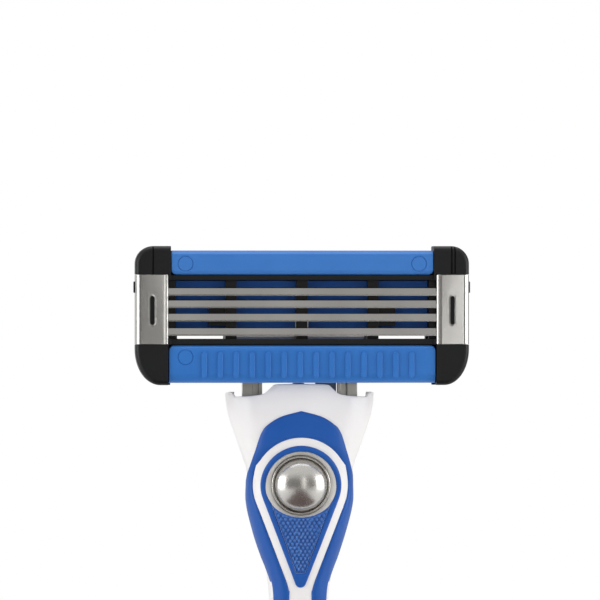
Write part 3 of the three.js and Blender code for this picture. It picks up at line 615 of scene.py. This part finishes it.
# ---- End cap ----
# The plug that closes the handle's foot, moulded in hard blue plastic with a rounded bottom edge. Its
# spigot is pressed into the two shells.
def ring_stack(rings, segments=96, closed=False):
    """Rings of points, each given by a function of the angle, joined one to the next. The last is
    joined to the first, or both ends are capped."""
    bm = bmesh.new()
    turn = bm.verts.layers.float.new("turn")
    first = bmesh.ops.create_circle(bm, segments=segments, radius=1)["verts"]
    for v in first:
        v[turn] = math.atan2(v.co.y, v.co.x)
    edges = first_edges = bm.edges[:]
    verts = first
    for k, ring in enumerate(rings):
        if k:
            made = bmesh.ops.extrude_edge_only(bm, edges=edges)["geom"]
            verts = [g for g in made if isinstance(g, bmesh.types.BMVert)]
            edges = [e for e in made if isinstance(e, bmesh.types.BMEdge) and all(v in verts for v in e.verts)]
        for v in verts:
            v.co = ring(v[turn])
    if closed:
        bmesh.ops.bridge_loops(bm, edges=[*first_edges, *edges])
    else:
        bmesh.ops.edgeloop_fill(bm, edges=first_edges)
        bmesh.ops.edgeloop_fill(bm, edges=edges)
    bmesh.ops.recalc_face_normals(bm, faces=bm.faces[:])
    return bm


def handle_ring(z, lift):
    return lambda turn: on_handle(turn, z, lift)


foot_round = 0.9
spigot = 4.0
cap_rings = []
for i in range(7):
    a = math.pi / 2 * i / 6
    cap_rings.append(handle_ring(foot_round * (1 - math.cos(a)), foot_round * (math.sin(a) - 1)))
cap_rings += [handle_ring(z, 0.0) for z in (2, 3.2, 4.5, 5.8, 7.2, 8.4)]
cap_rings += [handle_ring(cap_height - 0.12, -0.02), handle_ring(cap_height - 0.03, -0.12)]
cap_rings += [handle_ring(cap_height - 0.03, -wall - 0.1), handle_ring(cap_height + spigot, -wall - 0.1)]
cap_blue = clouded("cap_blue", (0.02, 0.13, 0.47), (0.024, 0.145, 0.5), 0.38, 0.3, 0.004)
settle(ring_stack(cap_rings), "end_cap_plug", cap_blue, "handle", "blue_plastic", "end_cap")

# ---- Steel core ----
# A bent steel rod that gives the light handle its weight. It is laid in before the shells are welded,
# so it can't be seen, and it keeps its plain solid.
bare_steel = clouded("bare_steel", (0.42, 0.41, 0.4), (0.5, 0.49, 0.475), 0.32, 0.2, 0.003, metallic=1.0)
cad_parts["steel_core"].data.materials.clear()
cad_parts["steel_core"].data.materials.append(bare_steel)

# ---- Button guide ----
# The white dish round the button, moulded with the well that the button slides in. It is snapped
# into the front shell from inside.
guide_floor = -centre_y(button_z) + 2.8
bezel_radius = 3.71
dish_rim = -on_handle(0, button_z).y + 0.4


def round_ring(radius, along):
    return lambda turn: Vector((radius * math.cos(turn), -along, button_z + radius * math.sin(turn)))


def dish_ring(share):
    """A ring of the dish's slope, from the bezel's seat to the rim that follows the handle's skin."""

    def place(turn):
        reach = dish_half if math.sin(turn) > 0 else dish_foot
        inner_edge = (bezel_radius + 0.05) * (1 - share)
        x = (inner_edge + (dish_half - 0.04) * share) * math.cos(turn)
        z = button_z - dish_drop * share + (inner_edge + reach * share * 0.99) * math.sin(turn)
        skin = on_handle(angle_at(x, z), z, 0.06).y
        seat = -(dish_rim - 1.5)
        y = seat + (skin - seat) * (0.55 * share + 0.45 * share**2.2)
        return Vector((x, min(y, seat - 0.02 * share), z))

    return place


def skirt_ring(along):
    return lambda turn: Vector((dish_ring(1.0)(turn).x, -along, dish_ring(1.0)(turn).z))


guide_rings = [dish_ring(i / 8) for i in range(9)]
guide_rings += [
    skirt_ring(guide_floor - 0.7), round_ring(0.9, guide_floor - 0.7), round_ring(0.9, guide_floor),
    round_ring(bezel_radius + 0.04, guide_floor),
]
guide = ring_stack(guide_rings, closed=True)
# The dish is a greyer, warmer white than the shell: painted shade for the recess round the button.
painted_shade_dish_white = clouded("painted_shade_dish_white", (0.72, 0.7, 0.675), (0.76, 0.74, 0.715), 0.35, 0.35, 0.004, sheen=0.5)
settle(guide, "button_guide_dish", painted_shade_dish_white, "handle", "white_plastic", "button_guide")


# ---- Button bezel ----
# A thin ring, turned and satin chromed, with two fine grooves in its face. It is pressed into the well
# round the button.
def turned(profile, segments=96, z=button_z, y=0.0):
    """A form turned about an axis that points out of the front, from radius and distance pairs."""
    bm = bmesh.new()
    verts = [bm.verts.new((r, y - along, z)) for r, along in profile]
    edges = [bm.edges.new(pair) for pair in zip(verts, verts[1:])]
    bmesh.ops.spin(
        bm, geom=verts + edges, cent=(0, y, z), axis=(0, 1, 0), angle=2 * math.pi, steps=segments,
        use_merge=True,
    )
    bmesh.ops.remove_doubles(bm, verts=bm.verts[:], dist=0.0005)
    bmesh.ops.recalc_face_normals(bm, faces=bm.faces[:])
    return bm


bezel_top = dish_rim - 1.15
bezel_profile = [
    (3.39, guide_floor + 0.05), (bezel_radius, guide_floor + 0.05), (bezel_radius, bezel_top - 0.12),
    (3.68, bezel_top - 0.03), (3.62, bezel_top), (3.58, bezel_top - 0.02), (3.565, bezel_top - 0.1),
    (3.54, bezel_top - 0.1), (3.52, bezel_top - 0.02), (3.47, bezel_top - 0.01), (3.41, bezel_top - 0.06),
    (3.39, bezel_top - 0.14), (3.39, guide_floor + 0.05),
]
satin_chrome = clouded(
    "satin_chrome", (0.58, 0.565, 0.54), (0.64, 0.625, 0.6), 0.26, 0.25, 0.004, metallic=1.0
)
settle(turned(bezel_profile), "bezel_ring", satin_chrome, "handle", "chrome", "button_bezel")

# ---- Release button ----
# A domed button drawn in steel and satin chromed, on a stem with a slanted end. The stem slides in the
# guide's bore, and pushes the ejector up by its ramp when the button is pressed.
dome_radius = 3.31
dome_height = 1.88
travel = 1.0
dome_base = bezel_top - 0.25
button_under = guide_floor + travel + 0.25
ramp_y = -head_forward - 0.2
button_profile = [
    (0, -ramp_y - 1.2), (0.8, -ramp_y - 1.2), (0.8, button_under), (dome_radius - 0.1, button_under),
    (dome_radius, button_under + 0.1), (dome_radius, dome_base - 0.04),
]
dome_steps = 28
for i in range(dome_steps + 1):
    a = math.pi / 2 * i / dome_steps
    button_profile.append((dome_radius * math.cos(a), dome_base + dome_height * math.sin(a)))
button_profile[-1] = (0, dome_base + dome_height)
button = turned(button_profile, 128)
bmesh.ops.bisect_plane(
    button, geom=button.verts[:] + button.edges[:] + button.faces[:], dist=0.001,
    plane_co=(0, ramp_y - 0.1, button_z), plane_no=(0, 1.4, 1), clear_outer=True,
)
bmesh.ops.holes_fill(button, edges=[e for e in button.edges if e.is_boundary])
bmesh.ops.recalc_face_normals(button, faces=button.faces[:])
settle(button, "release_button_dome", satin_chrome, "button", "chrome", "release_button")


# ---- Springs ----
# Two springs wound from hard steel wire: a conical one under the button, which nests flat when it is
# pressed, and a slim one that holds the plunger up against the cartridge.
def wound(radius, wire, length, turns, taper=0.0):
    """A coil of wire along Z from the origin."""
    bm = bmesh.new()
    section = bmesh.ops.create_circle(bm, segments=10, radius=wire / 2, cap_ends=True)["verts"]
    bmesh.ops.rotate(bm, verts=section, cent=(0, 0, 0), matrix=Matrix.Rotation(math.pi / 2, 3, "X"))
    bmesh.ops.translate(bm, verts=section, vec=(radius - wire / 2, 0, wire / 2))
    steps = int(turns * 28)
    bmesh.ops.spin(
        bm, geom=bm.verts[:] + bm.edges[:] + bm.faces[:], cent=(0, 0, 0), axis=(0, 0, 1),
        dvec=(0, 0, (length - wire) / steps), angle=2 * math.pi * turns, steps=steps,
    )
    for v in bm.verts:
        share = 1 - taper * min(max(v.co.z / length, 0), 1)
        v.co.x *= share
        v.co.y *= share
    bmesh.ops.remove_doubles(bm, verts=bm.verts[:], dist=0.001)
    bmesh.ops.recalc_face_normals(bm, faces=bm.faces[:])
    return bm


button_length = button_under - guide_floor - 0.1
coil = wound(2.0, 0.16, button_length, 2.5, taper=0.32)
for v in coil.verts:
    v.co = Vector((v.co.x, -(guide_floor + 0.05) - v.co.z, button_z + v.co.y))
button_coil = settle(coil, "button_spring_coil", bare_steel, "handle", "steel", "button_spring")
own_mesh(button_coil)
spring_low, spring_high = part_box("plunger_spring")
plunger_y = (spring_low.y + spring_high.y) / 2 / mm
coil = wound(0.72, 0.16, (spring_high.z - spring_low.z) / mm, 8)
bmesh.ops.translate(coil, verts=coil.verts[:], vec=(0, plunger_y, spring_low.z / mm))
plunger_coil = settle(coil, "plunger_spring_coil", bare_steel, "handle", "steel", "plunger_spring")
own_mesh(plunger_coil)


# ---- Arms ----
# Two die-cast arms that stand out of the neck and carry the connector, each with a groove down its
# front. They are held in the plastic chassis between the shells.
def machined(node, radius, segments=3, least=30, shortest=4.0):
    """The plain solid of a piece with its flat faces joined up and its hard edges rounded."""
    bm = bmesh.new()
    bm.from_mesh(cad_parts[node].data)
    bmesh.ops.scale(bm, vec=(1 / mm, 1 / mm, 1 / mm), verts=bm.verts[:])
    bmesh.ops.remove_doubles(bm, verts=bm.verts[:], dist=0.002)
    bmesh.ops.dissolve_limit(bm, angle_limit=math.radians(0.8), verts=bm.verts[:], edges=bm.edges[:])
    soften(bm, radius, segments, least, shortest)
    return bm


def soften(bm, radius, segments=3, least=30, shortest=4.0):
    """Rounds the edges that turn by more than so many degrees and are so many radii long."""
    turning = [e for e in bm.edges if e.is_manifold and e.calc_face_angle(0) > math.radians(least)]
    hard = [e for e in turning if e.calc_length() > shortest * radius]
    bmesh.ops.bevel(
        bm, geom=hard, offset=radius, segments=segments, profile=0.5, affect="EDGES", clamp_overlap=False,
        material=-1,
    )


satin_metal = clouded(
    "satin_casting", (0.42, 0.41, 0.385), (0.5, 0.49, 0.46), 0.3, 0.3, 0.004, metallic=1.0,
    stretch=(3, 3, 0.3),
)
for side in ("left", "right"):
    arm = machined(f"arm_{side}", 0.08)
    settle(arm, f"arm_{side}_casting", satin_metal, "handle", "silver_metal", f"arm_{side}")

# ---- Head chassis, ejector and plunger ----
# Grey plastic mouldings in the neck. The chassis holds the arms and guides the plunger, and the
# blue-grey ejector slides up between the arms to free the cartridge.
slate = clouded("slate_plastic", (0.12, 0.14, 0.17), (0.14, 0.165, 0.195), 0.45, 0.3, 0.004)
blue_slate = clouded("blue_slate_plastic", (0.15, 0.2, 0.33), (0.17, 0.23, 0.37), 0.4, 0.3, 0.004)
chassis = machined("head_chassis", 0.1, 2)
settle(chassis, "head_chassis_moulding", slate, "handle", "grey_plastic", "head_chassis")
ejector = machined("ejector", 0.07, 2)
settle(ejector, "ejector_moulding", blue_slate, "ejector", "blue_grey_plastic", "ejector")
plunger_low, plunger_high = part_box("pivot_plunger")
plunger_base, plunger_tip = plunger_low.z / mm, plunger_high.z / mm
spring_seat = spring_high.z / mm + 0.06
plunger_profile = [
    (0, plunger_base), (0.36, plunger_base), (0.41, plunger_base + 0.05), (0.41, spring_seat),
    (0.72, spring_seat), (0.75, spring_seat + 0.04), (0.75, plunger_tip - 0.3),
]
for i in range(1, 9):
    a = math.pi / 2 * i / 8
    plunger_profile.append((0.45 + 0.3 * math.cos(a), plunger_tip - 0.3 + 0.3 * math.sin(a)))
plunger_profile.append((0, plunger_tip))
plunger = turned(plunger_profile, 48, z=0)
for v in plunger.verts:
    v.co = Vector((v.co.x, plunger_y + v.co.z, -v.co.y))
bmesh.ops.recalc_face_normals(plunger, faces=plunger.faces[:])
settle(plunger, "pivot_plunger_pin", slate, "plunger", "grey_plastic", "pivot_plunger")

# ---- Docking connector ----
# The satin silver bar that the cartridge turns on. It plugs onto the two arms, and a pin at each end
# runs in the cartridge's ears.
connector = machined("docking_connector", 0.08)
settle(
    connector, "docking_connector_casting", satin_metal, "connector", "silver_metal", "docking_connector"
)

# ---- Cartridge frame ----
# The black glass-filled frame that everything in the cartridge snaps into: rounded end caps, two
# cross bars, a rinse window with three ribs, and behind it the pivot ears and the cam finger.
front_y = cartridge_low.y / mm
bottom = cartridge_low.z / mm
top = cartridge_high.z / mm
half_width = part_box("clip_right")[1].x / mm
back_y = front_y + 4.7
pivot_y = -head_forward
pivot_z = bottom + 5.0
bay = half_width - 4.45
guard_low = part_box("guard_bar")[0].z / mm
guard_top = bottom + 5.15
strip_top = top - 0.56
strip_low = strip_top - 3.07
window_low = guard_top + 0.64
window_top = strip_low - 0.64
window_half = bay - 0.55
blade_half = half_width - 3.6
slot_z = (window_low + window_top) / 2 - 0.1
clip_z = (strip_low + guard_top) / 2
clip_half = 4.34
plate_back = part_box("back_plate")[1].y / mm + 0.04
shelf_y = front_y + 1.35
rib_back = shelf_y + 0.85
guard_back = front_y + 3.25
ear_inner = 8.2
ear_outer = 9.6


def carve(bm, tools, operation="DIFFERENCE"):
    """Cuts other forms out of a form, or joins them to it."""

    def stand_in(form):
        mesh = bpy.data.meshes.new("carving")
        form.to_mesh(mesh)
        form.free()
        made = bpy.data.objects.new("carving", mesh)
        scene.collection.objects.link(made)
        return made

    target = stand_in(bm)
    used = [stand_in(tool) for tool in tools]
    for tool in used:
        step = target.modifiers.new("carve", "BOOLEAN")
        step.operation, step.solver, step.object = operation, "EXACT", tool
    carved = bmesh.new()
    cut = target.evaluated_get(bpy.context.evaluated_depsgraph_get())
    carved.from_mesh(bpy.data.meshes.new_from_object(cut))
    for made in (target, *used):
        bpy.data.objects.remove(made)
    bmesh.ops.remove_doubles(carved, verts=carved.verts[:], dist=0.003)
    bmesh.ops.dissolve_limit(
        carved, angle_limit=math.radians(0.5), verts=carved.verts[:], edges=carved.edges[:]
    )
    return carved


def block(x0, x1, y0, y1, z0, z1):
    bm = bmesh.new()
    cube = bmesh.ops.create_cube(bm, size=1)["verts"]
    bmesh.ops.scale(bm, vec=(x1 - x0, y1 - y0, z1 - z0), verts=cube)
    bmesh.ops.translate(bm, vec=((x0 + x1) / 2, (y0 + y1) / 2, (z0 + z1) / 2), verts=cube)
    return bm


def prism(points, travel_by):
    """A flat outline drawn out along a direction."""
    bm = bmesh.new()
    face = bm.faces.new([bm.verts.new(p) for p in points])
    made = bmesh.ops.extrude_face_region(bm, geom=[face])["geom"]
    bmesh.ops.translate(bm, vec=travel_by, verts=[g for g in made if isinstance(g, bmesh.types.BMVert)])
    bmesh.ops.recalc_face_normals(bm, faces=bm.faces[:])
    return bm


def arc(centre, radii, start, end, steps=12):
    """Points on an arc or a quarter ellipse, in degrees."""
    angles = [math.radians(start + (end - start) * i / steps) for i in range(steps + 1)]
    return [(centre[0] + radii[0] * math.cos(a), centre[1] + radii[1] * math.sin(a)) for a in angles]


right_caps = [
    *arc((half_width - 3.1, bottom + 4.5), (3.1, 4.5), -90, 0, 16),
    *arc((half_width - 2.25, top - 2.25), (2.25, 2.25), 0, 90, 16),
]
outline = [*right_caps, *[(-x, z) for x, z in reversed(right_caps)]]
shell = prism([(x, front_y, z) for x, z in outline], (0, back_y - front_y, 0))
ring = [e for e in shell.edges if all(abs(v.co.y - front_y) < 0.01 for v in e.verts)]
bmesh.ops.bevel(
    shell, geom=ring, offset=0.62, segments=6, profile=0.5, affect="EDGES", clamp_overlap=False, material=-1
)
ring = [e for e in shell.edges if all(abs(v.co.y - back_y) < 0.01 for v in e.verts)]
bmesh.ops.bevel(
    shell, geom=ring, offset=0.4, segments=4, profile=0.5, affect="EDGES", clamp_overlap=False, material=-1
)
far = 60.0
recess_x = half_width - 0.35
recess_inner = half_width - 4.11
clip_low = clip_z - clip_half - 0.05
clip_high = clip_z + clip_half + 0.05
peg_low = slot_z + 2.2
cuts = [
    block(-bay, bay, -far, far, 0, guard_low),
    block(-bay, bay, -far, far, strip_top, 200),
    block(-bay, bay, -far, front_y + 2.85, strip_low, 200),
    block(-recess_inner, recess_inner, -far, guard_back, 0, clip_low),
    block(-bay, bay, -far, front_y + 0.6, guard_top - 0.1, strip_low + 0.1),
    block(-blade_half - 0.1, blade_half + 0.1, -far, shelf_y, window_low, window_top),
    block(-window_half, window_half, -far, plate_back, window_low, window_top),
    block(-window_half + 0.3, window_half - 0.3, -far, far, window_low, window_top - 0.3),
    block(-18.78, -18.6, -far, front_y + 0.35, strip_low, 200),
    block(18.6, 18.76, -far, front_y + 0.35, strip_low, 200),
    block(19.02, 19.18, -far, front_y + 0.35, strip_low, 200),
]
for side in (-1, 1):
    for y0, y1, z0, z1 in (
        (-far, front_y + 1.3, clip_low, clip_high),
        (front_y + 2.7, far, clip_low, clip_high),
        (-far, far, clip_low, peg_low),
        (-far, far, peg_low + 1.4, clip_high),
    ):
        ends = sorted((side * recess_x, side * far))
        cuts.append(block(*ends, y0, y1, z0, z1))
    ends = sorted((side * recess_inner, side * far))
    cuts.append(block(*ends, -far, front_y + 0.15, clip_low, clip_high))
    ends = sorted((side * (half_width - 3.6), side * far))
    cuts.append(block(*ends, back_y - 0.05, far, clip_low, clip_high))
frame_form = carve(shell, cuts)

ear_low = pivot_z - 2.0
ear_side = [
    (shelf_y, window_top + 0.2), (shelf_y, window_low - 0.2), (guard_back + 0.1, window_low - 0.2),
    (guard_back + 0.1, ear_low), *arc((pivot_y, pivot_z), (2, 2), -90, 90, 20), (rib_back, pivot_z + 2),
    (rib_back, window_top + 0.2),
]
cam_side = [
    (shelf_y, window_top + 0.2), (shelf_y, window_low - 0.2), (rib_back, window_low - 0.2),
    (rib_back, pivot_z + 2.1), *arc((pivot_y, pivot_z), (2.1, 2.1), 90, 5, 16),
    *arc((pivot_y, pivot_z), (3.2, 3.2), 5, 90, 16), (rib_back, pivot_z + 3.2), (rib_back, window_top + 0.2),
]
joined = [prism([(-0.72, y, z) for y, z in cam_side], (1.44, 0, 0))]
for side in (-1, 1):
    ear = [(side * ear_inner, y, z) for y, z in ear_side]
    joined.append(prism(ear, (side * (ear_outer - ear_inner), 0, 0)))
    ends = sorted((side * (ear_outer - 0.1), side * (ear_outer + 2.1)))
    joined.append(block(*ends, shelf_y + 0.25, rib_back, slot_z - 2, slot_z + 0.4))
    ends = sorted((side * (recess_x - 1), side * (half_width + 0.2)))
    joined.append(block(*ends, front_y + 1.3, front_y + 2.7, peg_low, peg_low + 1.4))
frame_form = carve(frame_form, joined, "UNION")
pin_hole = prism(
    [(-12, y, z) for y, z in arc((pivot_y, pivot_z), (0.96, 0.96), 0, 350, 35)], (24, 0, 0)
)
frame_form = carve(frame_form, [pin_hole])
soften(frame_form, 0.06, 2, 40)
black = clouded(
    "black_moulding", (0.003, 0.0034, 0.0045), (0.0045, 0.005, 0.0065), 0.42, 0.16, 0.012, sheen=0.33
)
settle(
    frame_form, "cartridge_frame_moulding", black, "cartridge", "black_plastic", "cartridge_frame", sharp=32
)

# ---- Back plate ----
# A dark blue plastic plate behind the blades, notched round the frame's ribs. It is laid in from the
# front against a step round the window.
plate_blue = clouded("plate_blue", (0.016, 0.085, 0.33), (0.02, 0.1, 0.38), 0.4, 0.3, 0.004, sheen=0.15)
plate = machined("back_plate", 0.07, 2)
settle(plate, "back_plate_moulding", plate_blue, "cartridge", "blue_plastic", "back_plate")

# ---- Guard bar ----
# The blue bar that stretches the skin ahead of the blades: a soft elastomer moulding with a row of
# upright ribs, an ejector mark at one end, and a lower lip that rolls back under.
guard_half = bay + 0.25
guard_face = front_y + 0.3
lip = arc((guard_face + 1.1, guard_low + 1.3), (1.1, 1.3), 180, 270, 10)
guard_crest = guard_top - 0.13
guard_side = [
    (guard_back - 0.05, guard_crest), (guard_face, guard_crest), *lip, (guard_back - 0.05, guard_low),
]
guard = prism([(-guard_half, y, z) for y, z in guard_side], (2 * guard_half, 0, 0))
tip_verts = {v for v in guard.verts if v.co.z > guard_crest - 0.1 and abs(v.co.x) > guard_half - 0.1}
corners = [e for e in guard.edges if tip_verts.issuperset(e.verts)]
bmesh.ops.bevel(
    guard, geom=corners, offset=0.75, segments=8, profile=0.5, affect="EDGES", clamp_overlap=False,
    material=-1,
)
soften(guard, 0.1, 3, 50, 0.5)
ribs = []
rib_count = 14
rib_pitch = 2.0
rib_radii = (0.325, 0.325)
for i in range(rib_count):
    x = 0.7 + (i - (rib_count - 1) / 2) * rib_pitch
    pill = arc((x, guard_top - 1.3), rib_radii, 0, 180, 10)
    pill += arc((x, guard_low + 0.95), rib_radii, 180, 360, 10)
    rib = prism([(px, guard_face - 0.25, pz) for px, pz in pill], (0, 0.5, 0))
    rim = [e for e in rib.edges if all(v.co.y < guard_face - 0.23 for v in e.verts)]
    bmesh.ops.bevel(
        rib, geom=rim, offset=0.1, segments=3, profile=0.5, affect="EDGES", clamp_overlap=False, material=-1
    )
    ribs.append(rib)


def ejector_mark(x, z, face, radius=0.93):
    """A tool for the fine round groove that an ejector pin leaves."""
    profile = [(radius - 0.08, 0.05), (radius - 0.02, -0.08), (radius + 0.02, -0.08), (radius + 0.08, 0.05)]
    mark = turned([*profile, profile[0]], 40, z=z, y=face)
    bmesh.ops.translate(mark, vec=(x, 0, 0), verts=mark.verts[:])
    return mark


guard = carve(guard, ribs, "UNION")
guard = carve(guard, [ejector_mark(-14.63, guard_top - 1.65, guard_face)])
guard_blue = clouded("guard_elastomer", (0.022, 0.15, 0.49), (0.028, 0.17, 0.53), 0.32, 0.22, 0.005)
settle(guard, "guard_bar_moulding", guard_blue, "cartridge", "blue_plastic", "guard_bar")

# ---- Lubricating strip ----
# A bar of blue water-soluble polymer, waxy and a little paler than the guard. It is slid into the
# frame's top pocket, and its upper edge is chamfered.
strip_face = front_y + 0.15
strip_back = front_y + 2.8
strip_side = [(strip_back, strip_top), (strip_face + 0.4, strip_top), (strip_face, strip_top - 0.45)]
strip_side += [(strip_face, strip_low + 0.05), (strip_back, strip_low + 0.05)]
strip = prism([(-bay + 0.05, y, z) for y, z in strip_side], (2 * bay - 0.1, 0, 0))
tip_verts = {v for v in strip.verts if v.co.z < strip_low + 0.1 and abs(v.co.x) > bay - 0.1}
corners = [e for e in strip.edges if tip_verts.issuperset(e.verts)]
bmesh.ops.bevel(
    strip, geom=corners, offset=0.65, segments=8, profile=0.5, affect="EDGES", clamp_overlap=False,
    material=-1,
)
soften(strip, 0.07, 3, 30, 0.5)
marks = [ejector_mark(x, strip_top - 1.65, strip_face) for x in (-14.64, 14.6)]
strip = carve(strip, marks)
polymer = clouded("strip_polymer", (0.036, 0.17, 0.52), (0.044, 0.19, 0.55), 0.42, 0.5, 0.006)
settle(strip, "lubricating_strip_bar", polymer, "cartridge", "strip_polymer", "lubricating_strip")


# ---- Clips ----
# Bent sheet aluminium bands, brushed along their height, that hold the blade pack down at each end.
# Each has a slot with a pressed rim, a folded inner edge, and a hole that the frame's peg snaps into.
def clip(side):
    sheet = 0.3
    y0 = front_y - 0.15
    y1 = back_y + 0.3
    inner_x = half_width - 4.06
    hook_x = half_width - 3.2
    r = 0.75
    ri = r - sheet
    outer = [(inner_x, y0 + 0.16), (inner_x + 0.12, y0 + 0.04), (inner_x + 0.5, y0 + 0.04)]
    outer += [(inner_x + 0.62, y0), *arc((half_width - r, y0 + r), (r, r), -90, 0, 8)]
    outer += [*arc((half_width - r, y1 - r), (r, r), 0, 90, 8), (hook_x, y1), (hook_x, y1 - sheet)]
    outer += arc((half_width - r, y1 - r), (ri, ri), 90, 0, 6)
    outer += arc((half_width - r, y0 + r), (ri, ri), 0, -90, 6)
    outer += [(inner_x + 0.5, y0 + sheet), (inner_x, y0 + sheet + 0.04)]
    z0 = clip_z - clip_half
    band = prism([(side * x, y, z0) for x, y in outer], (0, 0, 2 * clip_half))
    slot_x = side * (half_width - 2.12)
    ring = prism(
        [(x, y0 - 0.05, z) for x, z in pill_outline(slot_x, slot_z, 0.46, 1.52)], (0, 0.2, 0)
    )
    band = carve(band, [ring], "UNION")
    hole = prism([(x, y0 - 1, z) for x, z in pill_outline(slot_x, slot_z, 0.29, 1.52)], (0, 1.6, 0))
    ends = sorted((side * (half_width - 0.6), side * far))
    peg = block(*ends, front_y + 1.2, front_y + 2.8, peg_low - 0.1, peg_low + 1.5)
    band = carve(band, [hole, peg])
    soften(band, 0.035, 2, 50)
    return band


def pill_outline(x, z, radius, reach):
    above = arc((x, z + reach), (radius, radius), 0, 180, 10)
    return above + arc((x, z - reach), (radius, radius), 180, 360, 10)


clip_sheet = clouded(
    "brushed_sheet", (0.6, 0.595, 0.58), (0.66, 0.655, 0.64), 0.2, 0.07, 0.005, metallic=1.0,
    stretch=(1, 1, 0.35),
)
for name, side in (("left", -1), ("right", 1)):
    settle(clip(side), f"clip_{name}_band", clip_sheet, "cartridge", "clip_sheet", f"clip_{name}", sharp=30)

# ---- Blades ----
# Four blades of hard stainless strip, leaning back, each welded to a folded strip that carries it.
# The dark rolled face keeps fine lines along its length, and the bevel along the top is given a paler steel as
# a painted highlight.
lean = math.radians(23)
thin = 0.12
blade_width = 1.05 / math.cos(lean)
ground_steel = clouded(
    "ground_strip", (0.34, 0.331, 0.322), (0.39, 0.381, 0.372), 0.22, 0.05, 0.003, metallic=1.0,
    stretch=(0.03, 1, 1),
)
bevel_highlight_steel = clouded(
    "bevel_painted_highlight", (0.52, 0.53, 0.56), (0.56, 0.57, 0.6), 0.25, 0.05, 0.002, metallic=1.0
)
for i in range(1, 5):
    blade_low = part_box(f"blade_{i}")[0]
    edge_y = blade_low.y / mm
    edge_z = blade_low.z / mm

    def on_blade(u, v):
        return (
            edge_y + u * math.sin(lean) + v * math.cos(lean),
            edge_z + u * math.cos(lean) - v * math.sin(lean),
        )

    section = [
        (0, 0.08), (0.16, 0), (blade_width - 0.15, 0), (blade_width, thin - 0.01), (blade_width, thin),
        (0.1, thin),
    ]
    strip_form = prism([(-blade_half, *on_blade(u, v)) for u, v in section], (2 * blade_half, 0, 0))
    strip_form.normal_update()
    # Faces that look up get the paler steel: a painted highlight along each blade's top.
    for face in strip_form.faces:
        face.material_index = int(face.normal.z > 0.7 and face.normal.y < -0.3)
    strip_piece = settle(
        strip_form, f"blade_{i}_strip", ground_steel, "cartridge", "blade_steel", f"blade_{i}", sharp=12
    )
    strip_piece.data.materials.append(bevel_highlight_steel)
    carrier = machined(f"blade_support_{i}", 0.03, 2)
    settle(carrier, f"blade_support_{i}_strip", bare_steel, "cartridge", "blade_steel", f"blade_support_{i}")
